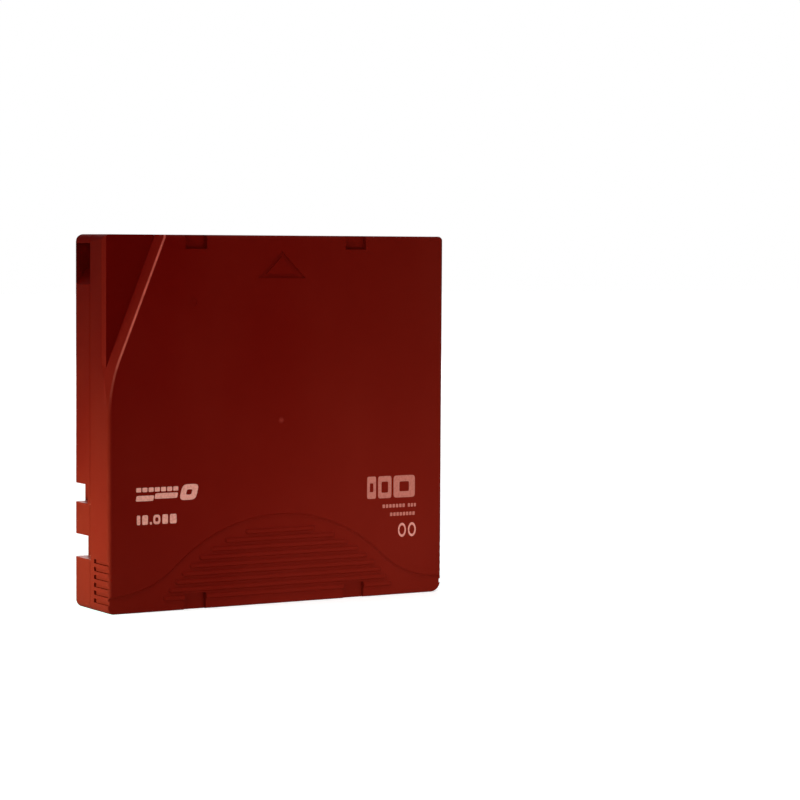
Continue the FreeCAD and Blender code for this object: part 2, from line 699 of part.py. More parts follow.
def spring_stop():
    """Lug on the right wall that holds the rear end of the door's spring."""
    reach = DOOR_SPRING_R + DOOR_SPRING_WIRE
    lug = block(DOOR_SPRING_X - reach, WALL_INSIDE + SINK, FLOOR - SINK, DOOR_SPRING_HEIGHT + reach,
                DOOR_SPRING_STOP - SPRING_FOOT, DOOR_SPRING_STOP)
    pin = Part.makeCylinder(SPRING_PIN_R, SPRING_PIN_LENGTH + SINK,
                            at(DOOR_SPRING_X, DOOR_SPRING_HEIGHT, DOOR_SPRING_STOP - SINK), ALONG)
    return [lug, pin]


def pin_spring_back():
    """Place (x, z) of the spine of the leader pin's spring."""
    behind = PIN_FLANGE_R + SEAT_CLEARANCE + SEAT_WALL + PIN_SPRING_WIRE
    return PIN_X - PIN_FLANGE_R - PIN_SPRING_BACK, PIN_Z - behind


def pin_spring_post(low, high):
    """Block that one arm of the leader pin's spring is pressed into."""
    x, z = pin_spring_back()
    half = PIN_POST_WIDTH / 2
    rear = z - PIN_POST_LENGTH / 2
    return block(x - half, x + half, low, high, rear, rear + PIN_POST_LENGTH)


def pin_spring_wire(grow=0.0):
    """Square wire bent to a C: a spine along the pin and an arm beside each of its ends."""
    side = PIN_SPRING_WIRE / 2 + grow
    x, z = pin_spring_back()
    low = FLOOR + PIN_SEAT + PIN_SPRING_WIRE
    high = THICKNESS - low
    tip_x = PIN_X + PIN_SPRING_REACH
    spine = block(x - side, x + side, low - side, high + side, z - side, z + side)
    arms = [block(x - side, tip_x, height - side, height + side, z - side, z + side)
            for height in (low, high)]
    return one_solid(spine.fuse(arms))


def pin_spring_groove():
    """Slot in the post, open at its inner end, that the spring drops into."""
    return pin_spring_wire(PIN_SPRING_FIT)


def switch_rails():
    """Two rails on the floor that hold the write-protect switch against the rear wall."""
    front = SIDE_WALL + SWITCH_GAP * 2 + SWITCH_THICK
    half = SWITCH_WINDOW / 2 + SWITCH_COVER + SWITCH_TRAVEL / 2
    ends = ((SWITCH_X - half, SWITCH_X - half / 3), (SWITCH_X + half / 3, SWITCH_X + half))
    return [block(x_from, x_to, FLOOR - SINK, PARTING - SWITCH_RISE, front, front + SWITCH_RAIL)
            for x_from, x_to in ends]


def board_plan():
    """Low end, high end and thickness direction of the sloping memory board, as (height, z)."""
    rise_by = BOARD_WIDTH * math.sin(math.radians(45))
    low = (FLOOR + BOARD_FLOOR_GAP, SIDE_WALL + BOARD_WALL_GAP + rise_by)
    high = (low[0] + rise_by, low[1] - rise_by)
    return low, high


def board_rests():
    """Three sloping brackets that carry the memory board at 45 degrees."""
    low, high = board_plan()
    shift = BOARD_THICK * math.sqrt(2) + BOARD_REST_GAP
    back = shift + BOARD_REST
    wedge = [at(0, FLOOR - SINK, low[1] + shift), at(0, low[0], low[1] + shift),
             at(0, high[0], high[1] + shift), at(0, high[0], high[1] + back),
             at(0, FLOOR - SINK, low[1] + back)]
    face = Part.Face(Part.makePolygon(wedge + wedge[:1]))
    rests = []
    for share in (-0.4, 0.0, 0.4):
        rest = face.extrude(FreeCAD.Vector(BOARD_REST_WIDTH, 0, 0))
        rest.translate(FreeCAD.Vector(BOARD_X + share * BOARD_LENGTH - BOARD_REST_WIDTH / 2, 0, 0))
        rests.append(rest)
    return rests


def label_recess():
    return block(-HALF_W + LABEL_LEFT, HALF_W - LABEL_RIGHT, LABEL_MARGIN, THICKNESS - LABEL_MARGIN,
                 -1, LABEL_DEPTH)


def upper_outside():
    """Upper shell's outer form before it is hollowed."""
    lid = case_block(0, PARTING, THICKNESS)
    lid = lid.makeFillet(UPPER_EDGE_R, edges_where(lid, lambda x, h, z: near(h, THICKNESS)))
    lid = lid.makeChamfer(PARTING_BEVEL, edges_where(lid, lambda x, h, z: near(h, PARTING)))
    lid = lid.cut([guide_cutter(GUIDE_DEPTH), crest_cutter(), guide_bevel()])
    return lid.cut(grip_field())


def upper_hollow():
    """Space inside the upper shell, less the walls that back the guide and the side cuts."""
    hollow = case_block(SIDE_WALL, PARTING - 1, CEILING)
    guide_back = rise(guide_wire(-SIDE_WALL, THICKNESS - GUIDE_DEPTH - ROOF), GUIDE_DEPTH + ROOF)
    hollow = hollow.cut(guide_back)
    shelves = side_cuts(NOTCH_WALL, PARTING - 2)
    for shelf in shelves:
        top = shelf.copy()
        top.translate(UP * (SHELF - 1))
        hollow = hollow.cut(top)
    return hollow


def key_places():
    """Ends in x of the left and the right pair of small recesses."""
    middles = [KEY_SHIFT + side * KEY_OFFSET for side in (-1, 1)]
    return [(middle - KEY_WIDTH / 2, middle + KEY_WIDTH / 2) for middle in middles]


def key_recesses():
    low = THICKNESS - KEY_DEPTH
    recesses = []
    for x_from, x_to in key_places():
        recesses.append(block(x_from, x_to, low, THICKNESS + 1, -1, KEY_REAR))
        recesses.append(block(x_from, x_to, low, THICKNESS + 1, LENGTH - KEY_FRONT, LENGTH + 1))
    return recesses


def key_pads():
    """Thicker roof behind each small recess."""
    low = CEILING - KEY_DEPTH
    pads = []
    for x_from, x_to in key_places():
        left, right = x_from - NOTCH_WALL, x_to + NOTCH_WALL
        pads.append(block(left, right, low, CEILING + SINK, SIDE_WALL - SINK, KEY_REAR + NOTCH_WALL))
        pads.append(block(left, right, low, CEILING + SINK, LENGTH - KEY_FRONT - NOTCH_WALL,
                          LENGTH - SIDE_WALL + SINK))
    return pads


def arrow():
    """Outlined triangle that shows which way the cartridge enters the drive."""
    tip = LENGTH - ARROW_FRONT
    base = tip - ARROW_HEIGHT
    outline = [(-ARROW_HALF, base), (ARROW_HALF, base), (0, tip)]
    inner_radius = ARROW_HALF * ARROW_HEIGHT / (ARROW_HALF + math.hypot(ARROW_HALF, ARROW_HEIGHT))
    incentre_z = base + inner_radius
    share = 1 - ARROW_LINE / inner_radius
    inner = [(x * share, incentre_z + (z - incentre_z) * share) for x, z in outline]
    low = THICKNESS - ENGRAVING
    return plate(sharp(outline), low, THICKNESS + 1).cut(plate(sharp(inner), low - 1, THICKNESS + 2))


def side_grooves():
    """Short grooves between the finger ribs on both long sides."""
    grooves = []
    for index in range(SIDE_RIB_COUNT):
        z = SIDE_RIB_FIRST + index * RIB_PITCH
        for side in (-1, 1):
            x_from, x_to = sorted((side * (HALF_W - SIDE_RIB_DEPTH), side * (HALF_W + 1)))
            grooves.append(block(x_from, x_to, SIDE_RIB_FROM, THICKNESS - SIDE_RIB_TOP,
                                 z - SIDE_RIB_GAP / 2, z + SIDE_RIB_GAP / 2))
    return grooves


def brake_post():
    """Cross-shaped post that guides the brake and keeps it from turning."""
    low = CEILING - POST_REACH
    arms = [block(-POST_HALF, POST_HALF, low, CEILING + SINK, REEL_Z - POST_THICK / 2,
                  REEL_Z + POST_THICK / 2),
            block(-POST_THICK / 2, POST_THICK / 2, low, CEILING + SINK, REEL_Z - POST_HALF,
                  REEL_Z + POST_HALF)]
    collar = ring(SPRING_COLLAR_R + SPRING_COLLAR_THICK, SPRING_COLLAR_R, CEILING - SPRING_COLLAR_HEIGHT,
                  CEILING + SINK)
    return arms + [collar]


def upper_shell():
    lid = upper_outside().fuse(grip_ribs())
    lid = lid.cut(upper_hollow())
    added = bumpers(PARTING, CEILING + SINK) + key_pads() + brake_post()
    added += [screw_boss(x, z, PARTING, CEILING + SINK) for x, z in SCREW_PLACES]
    added.append(door_tracks(CEILING - TRACK_HEIGHT, CEILING + SINK))
    added.append(pin_seat(CEILING - PIN_SEAT - SEAT_HEIGHT, CEILING + SINK))
    added.append(pin_pad(CEILING - PIN_SEAT, CEILING + SINK))
    added.append(pin_spring_post(CEILING - PIN_SEAT - SEAT_HEIGHT, CEILING + SINK))
    inside = case_block(SIDE_WALL / 2, PARTING, THICKNESS - ROOF / 2)
    inside = inside.cut(rise(guide_wire(-SIDE_WALL / 2, THICKNESS - GUIDE_DEPTH - ROOF / 2),
                             GUIDE_DEPTH + ROOF))
    lid = lid.fuse([piece.common(inside) for piece in added])
    cuts = key_recesses() + side_grooves() + [arrow(), door_window(), opener_groove(), label_recess()]
    cuts.append(disc(DIMPLE_R, THICKNESS - DIMPLE_DEPTH, THICKNESS + 1, DIMPLE_X, LENGTH - DIMPLE_FRONT))
    cuts += [disc(SCREW_R + SCREW_CLEARANCE, PARTING - 1, SCREW_TOP + 1, x, z) for x, z in SCREW_PLACES]
    cuts += [case_lip(LIP_CLEARANCE), pin_spring_groove()]
    return one_solid(lid.cut(cuts))


def screws():
    """Four countersunk-in-place pan screws that hold the shells together."""
    made = []
    half = SCREW_RECESS
    side = SCREW_SLOT / 2
    for x, z in SCREW_PLACES:
        shank = disc(SCREW_R, SCREW_SUNK + SCREW_HEAD - SINK, SCREW_TOP, x, z)
        screw = shank.fuse(disc(SCREW_HEAD_R, SCREW_SUNK, SCREW_SUNK + SCREW_HEAD, x, z))
        depth = SCREW_SUNK + SCREW_HEAD / 2
        cross = [block(x - half, x + half, 0, depth, z - side, z + side),
                 block(x - side, x + side, 0, depth, z - half, z + half)]
        made.append(one_solid(screw.cut(cross)))
    return made


# ================================================================ reel
def pedestal_arc():
    """Raised arc on the hub's floor, centred on +X, that carries a run of engaging teeth."""
    band = ring(TOOTH_R_OUT, TOOTH_R_IN, FLANGE_TOP - SINK, PEDESTAL_TOP)
    half = math.radians(PEDESTAL_SWEEP / 2)
    far_x = 2 * TOOTH_R_OUT * math.cos(half)
    far_z = 2 * TOOTH_R_OUT * math.sin(half)
    wedge = plate(sharp([(0, REEL_Z), (far_x, REEL_Z - far_z), (far_x, REEL_Z + far_z)]), FLANGE_TOP - 1,
                  PEDESTAL_TOP + 1)
    return band.common(wedge)


def engaging_teeth():
    """Teeth that the brake locks, in arcs between the legs, with the pedestals below them."""
    between = 180.0 / LEG_COUNT
    clear = between - PEDESTAL_SWEEP / 2 + TOOTH_STEP / 2
    teeth = tooth_ring(PEDESTAL_TOP - SINK, PEDESTAL_TOP + BRAKE_TOOTH, FIRST_LEG,
                       lambda angle: off_leg(angle) > clear)
    return teeth + [turned(pedestal_arc(), place + between) for place in leg_places()]


def reel_hub():
    """Hub, its floor, the driven teeth and the lower flange, moulded in one piece."""
    body = disc(FLANGE_R, LOWER_FLANGE, FLANGE_TOP)
    boss = disc(WINDOW_R - BOSS_CLEARANCE, BOSS_FACE, FLANGE_TOP)
    barrel = ring(HUB_R, HUB_BORE_R, FLANGE_TOP - SINK, UPPER_FLANGE)
    body = body.fuse([boss, barrel])
    body = body.cut([disc(PLATE_R, 0, BOSS_FACE + PLATE_THICK), disc(PLATE_BORE_R, 0, FLANGE_TOP + 1)])
    driven_teeth = tooth_ring(BOSS_FACE + SINK, BOSS_FACE - DRIVE_TOOTH, FIRST_LEG + TOOTH_STEP / 2)
    body = body.fuse(driven_teeth + engaging_teeth())
    leg_hole = disc(LEG_R + LEG_CLEARANCE, 0, FLANGE_TOP + 1, LEG_CIRCLE_R)
    return one_solid(body.cut([turned(leg_hole, place) for place in leg_places()]))


def hub_ring():
    """Metal ring inside the hub that keeps the wound tape from squeezing it."""
    return ring(HUB_BORE_R, HUB_BORE_R - RING_THICK, FLANGE_TOP, UPPER_FLANGE - FLANGE_THICK / 2)


def reel_upper_flange():
    return ring(FLANGE_R, HUB_BORE_R, UPPER_FLANGE, UPPER_FLANGE + FLANGE_THICK)


def reel_plate():
    """Steel plate that the drive's magnet holds."""
    return ring(PLATE_R - PLATE_FIT, PLATE_BORE_R, BOSS_FACE, BOSS_FACE + PLATE_THICK)


def tape_pack():
    low = FLANGE_TOP + TAPE_SIDE_GAP
    return ring(TAPE_R, HUB_R, low, low + TAPE_WIDTH)


def release_pad():
    """Three-armed plate on the hub's floor whose legs stand in the driven face."""
    low = FLANGE_TOP + PAD_GAP
    pad = disc(PAD_CENTRE_R, low, low + PAD_THICK)
    arm = block(0, LEG_CIRCLE_R, low, low + PAD_ARM_THICK, REEL_Z - PAD_ARM_WIDTH / 2,
                REEL_Z + PAD_ARM_WIDTH / 2)
    end = disc(PAD_ARM_WIDTH / 2, low, low + PAD_ARM_THICK, LEG_CIRCLE_R)
    leg = disc(LEG_R, BOSS_FACE + LEG_RECESS, low + SINK, LEG_CIRCLE_R)
    limb = arm.fuse([end, leg])
    return one_solid(pad.fuse([turned(limb, place) for place in leg_places()]))


def brake_button():
    """Braking disc with teeth below and a stem that slides on the upper shell's post."""
    body = disc(BRAKE_R, BRAKE_FACE, BRAKE_TOP)
    button_low = FLANGE_TOP + PAD_GAP * 2 + PAD_THICK
    added = [disc(BRAKE_BUTTON_R, button_low, BRAKE_FACE + SINK),
             disc(STEM_R, BRAKE_TOP - SINK, BRAKE_TOP + STEM_HEIGHT)]
    added += tooth_ring(BRAKE_FACE + SINK, BRAKE_FACE + SINK - BRAKE_TOOTH, FIRST_LEG + TOOTH_STEP / 2)
    body = body.fuse(added)
    half = POST_HALF + POST_CLEARANCE
    side = POST_THICK / 2 + POST_CLEARANCE
    low = CEILING - POST_REACH - BRAKE_TRAVEL - MESH_GAP
    high = BRAKE_TOP + STEM_HEIGHT + 1
    return one_solid(body.cut([block(-half, half, low, high, REEL_Z - side, REEL_Z + side),
                               block(-side, side, low, high, REEL_Z - half, REEL_Z + half)]))


def brake_spring():
    low = BRAKE_TOP + SPRING_SEAT_GAP + SPRING_WIRE / 2
    high = CEILING - SPRING_SEAT_GAP - SPRING_WIRE / 2
    return coil(SPRING_R, SPRING_WIRE, SPRING_TURNS, at(0, low, REEL_Z), UP, high - low)


# ================================================================ door and leader
def access_door():
    """Sliding door with the tab that the drive pushes and a foot for its spring."""
    low, high = FLOOR + DOOR_END_GAP, CEILING - DOOR_END_GAP
    panel = block(DOOR_INNER, DOOR_OUTER, low, high, DOOR_REAR, DOOR_FRONT)
    ends = edges_where(panel, lambda x, h, z: near(x, DOOR_INNER) and
                       (near(z, DOOR_REAR) or near(z, DOOR_FRONT)))
    panel = panel.makeChamfer(DOOR_THICK / 3, ends)
    tab_front = DOOR_Z + DOOR_LENGTH - DOOR_END_GAP
    tab_low = PARTING + DOOR_END_GAP
    added = [block(DOOR_OUTER - SINK, HALF_W - DOOR_TAB_INSET, tab_low, tab_low + DOOR_TAB_HEIGHT,
                   tab_front - DOOR_TAB, tab_front)]
    rib_low = PARTING - DOOR_RIB_HEIGHT / 2
    for index in range(DOOR_RIB_COUNT):
        z = DOOR_Z + DOOR_RIB_FIRST + index * DOOR_RIB_PITCH
        added.append(block(DOOR_OUTER - SINK, DOOR_OUTER + DOOR_WALL_GAP, rib_low,
                           rib_low + DOOR_RIB_HEIGHT, z, z + DOOR_RIB_THICK))
    reach = DOOR_SPRING_R + DOOR_SPRING_WIRE
    added.append(block(DOOR_SPRING_X - reach, DOOR_OUTER, DOOR_SPRING_HEIGHT - reach,
                       DOOR_SPRING_HEIGHT + reach, DOOR_REAR, DOOR_REAR + SPRING_FOOT))
    added.append(Part.makeCylinder(SPRING_PIN_R, SPRING_PIN_LENGTH + SINK,
                                   at(DOOR_SPRING_X, DOOR_SPRING_HEIGHT, DOOR_REAR - SPRING_PIN_LENGTH),
                                   ALONG))
    return one_solid(panel.fuse(added))


def door_spring():
    low = DOOR_SPRING_STOP + SPRING_SEAT_GAP + DOOR_SPRING_WIRE / 2
    high = DOOR_REAR - SPRING_SEAT_GAP - DOOR_SPRING_WIRE / 2
    return coil(DOOR_SPRING_R, DOOR_SPRING_WIRE, DOOR_SPRING_TURNS,
                at(DOOR_SPRING_X, DOOR_SPRING_HEIGHT, low), ALONG, high - low)


def leader_pin():
    """Turned steel pin with a flange at each end."""
    low = FLOOR + PIN_SEAT + PIN_END_GAP
    high = THICKNESS - low
    pin = disc(PIN_R, low, high, PIN_X, PIN_Z)
    flanges = [disc(PIN_FLANGE_R, low, low + PIN_FLANGE_THICK, PIN_X, PIN_Z),
               disc(PIN_FLANGE_R, high - PIN_FLANGE_THICK, high, PIN_X, PIN_Z)]
    return one_solid(pin.fuse(flanges))


def tape_clip():
    """C-shaped clip that grips the end of the leader round the pin."""
    low = (THICKNESS - CLIP_LENGTH) / 2
    clip = ring(PIN_R + SINK + CLIP_THICK, PIN_R + SINK, low, low + CLIP_LENGTH, PIN_X, PIN_Z)
    reach = PIN_R + SINK + CLIP_THICK + 1
    return one_solid(clip.cut(block(PIN_X + PIN_R / 3, PIN_X + reach, low - 1, low + CLIP_LENGTH + 1,
                                    PIN_Z - reach, PIN_Z)))


def leader_tape():
    """Straight strip that touches the side of the pack and the side of the pin.

    It is a tenth of a millimetre thick as a stand-in. It is laid along +Z beside the pack, then
    turned round the reel's axis to point at the pin: for radii r and p and a distance d between the
    two axes, the strip's run is the root of d^2 - (r - p)^2.
    """
    low = FLANGE_TOP + TAPE_SIDE_GAP
    inner = TAPE_R + LEADER_GAP / 10
    step = inner + LEADER_THICK / 2 - (PIN_R + LEADER_GAP / 10 + LEADER_THICK / 2 + SINK)
    away, along = PIN_X, PIN_Z - REEL_Z
    run = math.sqrt(away ** 2 + along ** 2 - step ** 2)
    start = math.sqrt((TAPE_R + LEADER_GAP) ** 2 - inner ** 2)
    strip = block(inner, inner + LEADER_THICK, low, low + TAPE_WIDTH, REEL_Z + start, REEL_Z + run - SINK)
    return turned(strip, math.degrees(math.atan2(along, away) - math.atan2(run, step)))


# ================================================================ switch and memory
def write_protect_switch():
    """Slide in the rear wall with a ridged knob."""
    half = SWITCH_WINDOW / 2
    left = SWITCH_X - half - SWITCH_COVER - SWITCH_TRAVEL
    right = SWITCH_X + half + SWITCH_COVER
    rear = SIDE_WALL + SWITCH_GAP
    top = PARTING + SWITCH_RISE
    body = block(left, right, FLOOR + SWITCH_GAP, top, rear, rear + SWITCH_THICK)
    knob_left = SWITCH_X - half + SWITCH_SIDE_GAP
    knob = block(knob_left, knob_left + SWITCH_KNOB, SWITCH_SOLE + SWITCH_SIDE_GAP,
                 PARTING - SWITCH_SIDE_GAP, LABEL_DEPTH, rear + SINK)
    grooves = []
    side = SWITCH_GROOVE / 2
    for share in (0.25, 0.5, 0.75):
        x = knob_left + share * SWITCH_KNOB
        grooves.append(block(x - side, x + side, 0, top, 0, LABEL_DEPTH * 2))
    return one_solid(body.fuse(knob).cut(grooves))


def memory_board():
    low, high = board_plan()
    shift = BOARD_THICK * math.sqrt(2) / 2
    section = [at(0, low[0], low[1]), at(0, high[0], high[1]),
               at(0, high[0] + shift, high[1] + shift), at(0, low[0] + shift, low[1] + shift)]
    board = Part.Face(Part.makePolygon(section + section[:1])).extrude(FreeCAD.Vector(BOARD_LENGTH, 0, 0))
    board.translate(FreeCAD.Vector(BOARD_X - BOARD_LENGTH / 2, 0, 0))
    return board


def memory_chip():
    """Chip on the inner face of the board, between two of its brackets."""
    low, high = board_plan()
    corner = FreeCAD.Vector(-CHIP_SIZE / 2, 0, -CHIP_SIZE / 2)
    chip = Part.makeBox(CHIP_SIZE, CHIP_THICK, CHIP_SIZE, corner)
    middle = at(BOARD_X + CHIP_SHARE * BOARD_LENGTH, (low[0] + high[0]) / 2, (low[1] + high[1]) / 2)
    outwards = FreeCAD.Vector(0, -1, 1).normalize()
    chip.rotate(FreeCAD.Vector(0, 0, 0), FreeCAD.Vector(1, 0, 0), 135)
    chip.translate(middle + outwards * BOARD_THICK)
    return chip


# ================================================================ write the pieces
os.makedirs("parts", exist_ok=True)
save("upper_shell", upper_shell())
save("lower_shell", lower_shell())
save("case_screws", *screws())
save("reel_hub", reel_hub())
save("hub_ring", hub_ring())
save("reel_upper_flange", reel_upper_flange())
save("reel_plate", reel_plate())
save("tape_pack", tape_pack())
save("release_pad", release_pad())
save("brake_button", brake_button())
save("brake_spring", brake_spring())
save("access_door", access_door())
save("door_spring", door_spring())
save("leader_pin", leader_pin())
save("leader_pin_spring", pin_spring_wire())
save("tape_clip", tape_clip())
save("leader_tape", leader_tape())
save("write_protect_switch", write_protect_switch())
save("memory_board", memory_board())
save("memory_chip", memory_chip())
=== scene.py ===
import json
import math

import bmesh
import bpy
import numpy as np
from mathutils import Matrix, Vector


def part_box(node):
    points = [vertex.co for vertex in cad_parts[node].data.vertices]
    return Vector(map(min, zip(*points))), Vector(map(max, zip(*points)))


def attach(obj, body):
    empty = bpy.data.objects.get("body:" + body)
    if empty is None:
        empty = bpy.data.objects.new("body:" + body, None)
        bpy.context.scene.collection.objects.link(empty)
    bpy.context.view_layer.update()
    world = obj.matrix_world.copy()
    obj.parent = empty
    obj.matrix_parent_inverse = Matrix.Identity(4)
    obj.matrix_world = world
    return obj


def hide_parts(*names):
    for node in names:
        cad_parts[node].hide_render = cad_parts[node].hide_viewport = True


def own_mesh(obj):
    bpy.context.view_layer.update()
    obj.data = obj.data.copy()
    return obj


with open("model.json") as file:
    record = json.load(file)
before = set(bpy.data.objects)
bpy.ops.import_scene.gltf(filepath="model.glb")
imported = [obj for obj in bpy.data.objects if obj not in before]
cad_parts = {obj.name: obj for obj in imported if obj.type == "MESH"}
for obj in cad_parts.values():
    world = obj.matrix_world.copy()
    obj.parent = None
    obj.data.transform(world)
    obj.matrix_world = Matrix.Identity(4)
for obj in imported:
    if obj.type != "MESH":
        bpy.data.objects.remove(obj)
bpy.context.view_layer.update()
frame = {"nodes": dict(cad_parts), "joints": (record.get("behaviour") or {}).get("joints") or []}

# %% [markdown]
# # A single-reel data tape cartridge
#
# The solids of the cartridge come in with the frame: two moulded shells, the reel with its
# toothed hub, the brake that locks it, the sliding door and the leader pin. What is left for
# Blender is what the eye reads first: the satin dark red plastic, the print, wire that is
# really round, metal that looks turned or ground, and the light.
#
# The first cell only measures. Pieces, masks and marks are placed from these numbers, so they
# follow when the case changes. The few measures that no box holds, such as the slope of the
# guide, are named where they are used.

MM = 0.001
nodes = frame["nodes"]
joints = {joint["name"]: joint for joint in frame["joints"]}
case_low, case_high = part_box("upper_shell")
LEFT, RIGHT = case_low.x, case_high.x
FRONT_FACE = case_low.y                 # outer face of the upper shell
BACK_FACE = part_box("lower_shell")[1].y  # outer face of the lower shell
TOP = case_high.z
MIDDLE_Z = TOP / 2
print("nodes:", len(nodes), "joints:", sorted(joints))

# %% [markdown]
# ## Surfaces from arrays
#
# A mesh can be modelled by hand, with primitives and modifiers, or worked out. Wire, ink and
# other thin repeated things are easier to work out: each one is a function of two parameters,
# evaluated on a whole grid at once. The function below turns any such grid of points into a
# mesh. Rows that shrink to one point make a pole, and merging the doubles there closes it.

# %% A mesh from a grid of points
DOUBLES = 1e-4 * MM         # points closer than this are one point


def grid_faces(rows, columns, closed, first):
    """Quads between neighbouring grid points, numbered from first; a closed grid joins the end of
    each row to its start."""
    i = np.arange(rows - 1)
    j = np.arange(columns if closed else columns - 1)
    i, j = np.meshgrid(i, j, indexing="ij")
    below, beside = i + 1, (j + 1) % columns
    corners = [i * columns + j, below * columns + j, below * columns + beside, i * columns + beside]
    return np.stack(corners, axis=-1).reshape(-1, 4) + first


def mesh_piece(name, grids, closed=True, smooth=True):
    """One mesh object out of one or more grids of points, each of shape (rows, columns, 3)."""
    points = np.concatenate([grid.reshape(-1, 3) for grid in grids])
    faces, first = [], 0
    for grid in grids:
        rows, columns = grid.shape[:2]
        faces.append(grid_faces(rows, columns, closed, first))
        first += rows * columns
    mesh = bpy.data.meshes.new(name)
    mesh.from_pydata(points.tolist(), [], np.concatenate(faces).tolist())
    shape = bmesh.new()
    shape.from_mesh(mesh)
    bmesh.ops.remove_doubles(shape, verts=shape.verts, dist=DOUBLES)
    bmesh.ops.recalc_face_normals(shape, faces=shape.faces)
    shape.to_mesh(mesh)
    shape.free()
    mesh.polygons.foreach_set("use_smooth", [smooth] * len(mesh.polygons))
    piece = bpy.data.objects.new(name, mesh)
    bpy.context.scene.collection.objects.link(piece)
    print(name, len(mesh.vertices), "points", len(mesh.polygons), "faces")
    return piece


# %% [markdown]
# ## Shader maths as expressions
#
# A finish is a small calculation: where am I on the piece, how worn is it here, how rough does
# that make it. Drawn as nodes it is hard to follow, so one class wraps a socket and lets Python
# write the Math nodes. `1 - mask` works too, because the reflected operators are there. Colours
# and vectors have three parts and go through Mix and Vector Math instead, since a Math node
# keeps only one number.

# %% A socket that does arithmetic
class Value:
    """A number that varies over a surface: the output of a shader node."""

    def __init__(self, finish, socket):
        self.finish = finish
        self.socket = socket

    def _math(self, operation, *others, clamp=False):
        settings = {"operation": operation, "use_clamp": clamp}
        inputs = dict(enumerate([self] + list(others)))
        return self.finish.node("ShaderNodeMath", settings, inputs)

    def __add__(self, other):
        return self._math("ADD", other)

    def __radd__(self, other):
        return self._math("ADD", other)

    def __sub__(self, other):
        return self._math("SUBTRACT", other)

    def __rsub__(self, other):
        return self.finish.node("ShaderNodeMath", {"operation": "SUBTRACT"}, {0: other, 1: self})

    def __mul__(self, other):
        return self._math("MULTIPLY", other)

    def __rmul__(self, other):
        return self._math("MULTIPLY", other)

    def __truediv__(self, other):
        return self._math("DIVIDE", other)

    def __rtruediv__(self, other):
        return self.finish.node("ShaderNodeMath", {"operation": "DIVIDE"}, {0: other, 1: self})

    def __abs__(self):
        return self._math("ABSOLUTE")

    def clamp(self):
        """The value held between 0 and 1."""
        return self._math("ADD", 0.0, clamp=True)

    def least(self, other):
        """The smaller of two values."""
        return self._math("MINIMUM", other)

    def most(self, other):
        """The larger of two values."""
        return self._math("MAXIMUM", other)

    def sine(self):
        return self._math("SINE")

    def root(self):
        return self._math("SQRT")

    def fade(self, start, end):
        """0 at start, 1 at end and a smooth step between, whichever of the two is larger."""
        low, high, first, last = (start, end, 0.0, 1.0) if start < end else (end, start, 1.0, 0.0)
        return self.finish.node("ShaderNodeMapRange", {"interpolation_type": "SMOOTHSTEP"},
                                {"Value": self, "From Min": low, "From Max": high,
                                 "To Min": first, "To Max": last})


def distance(first, second):
    """Length of a step of first along one axis and second along another: their squares' root."""
    return (first * first + second * second).root()


# %% A finish and its nodes
# The Mix node has sockets for numbers, vectors and colours, so the colours' go by their order.
MIX_SHARE, MIX_COLOURS, MIX_RESULT = 0, (6, 7), 2


class Finish:
    """A material with its shader, and one method that adds any node to it."""

    def __init__(self, name, **constants):
        self.material = bpy.data.materials.new(name)
        self.material.use_nodes = True
        self.tree = self.material.node_tree
        self.shader = self.tree.nodes["Principled BSDF"]
        self.coordinates = self.tree.nodes.new("ShaderNodeTexCoord").outputs["Object"]
        for socket, value in constants.items():
            self.shader.inputs[socket.replace("_", " ")].default_value = value

    def node(self, kind, settings, inputs, output=0):
        """Adds a node: its settings first, then the value or the link of each input."""
        made = self.tree.nodes.new(kind)
        for name, value in settings.items():
            setattr(made, name, value)
        for name, value in inputs.items():
            self.feed(made.inputs[name], value)
        return Value(self, made.outputs[output])

    def feed(self, socket, value):
        """Links a value or an output to an input, or sets the input to a plain number or colour."""
        if isinstance(value, Value):
            self.tree.links.new(value.socket, socket)
        elif isinstance(value, bpy.types.NodeSocket):
            self.tree.links.new(value, socket)
        elif value is not None:
            socket.default_value = value

    def drive(self, **inputs):
        """Links values to the shader's own sockets."""
        for name, value in inputs.items():
            self.feed(self.shader.inputs[name.replace("_", " ")], value)
        return self

    def place(self):
        """x, y and z on the piece, in millimetres."""
        millimetres = self.node("ShaderNodeVectorMath", {"operation": "SCALE"},
                                {0: self.coordinates, "Scale": 1 / MM})
        return [self.node("ShaderNodeSeparateXYZ", {}, {0: millimetres}, part) for part in range(3)]

    def noise(self, size, detail=2.0, stretch=(1.0, 1.0, 1.0)):
        """Soft random pattern with spots of about size millimetres, longer where stretch is more."""
        scale = [1 / (size * MM * part) for part in stretch]
        where = self.node("ShaderNodeMapping", {"vector_type": "POINT"},
                          {"Vector": self.coordinates, "Scale": scale})
        return self.noise_at(where, detail)

    def noise_at(self, where, detail):
        """Soft random pattern read at a place that is worked out."""
        return self.node("ShaderNodeTexNoise", {"noise_dimensions": "3D"},
                         {"Vector": where, "Scale": 1.0, "Detail": detail})

    def mix(self, share, first, second):
        """Colour between two colours, each (r, g, b) or a link."""
        first, second = (colour if isinstance(colour, Value) else (*colour, 1.0)
                         for colour in (first, second))
        inputs = {MIX_SHARE: share, MIX_COLOURS[0]: first, MIX_COLOURS[1]: second}
        return self.node("ShaderNodeMix", {"data_type": "RGBA"}, inputs, MIX_RESULT)

    def bump(self, height, depth, below=None):
        """Normal of a height pattern whose full range is depth millimetres, over one below it."""
        return self.node("ShaderNodeBump", {},
                         {"Height": height, "Distance": depth * MM, "Normal": below})


def dress(finish, *names):
    """Gives the named nodes of the frame this finish."""
    for name in names:
        slots = nodes[name].data.materials
        slots.clear()
        slots.append(finish.material)
    print(finish.material.name, "on", ", ".join(names))


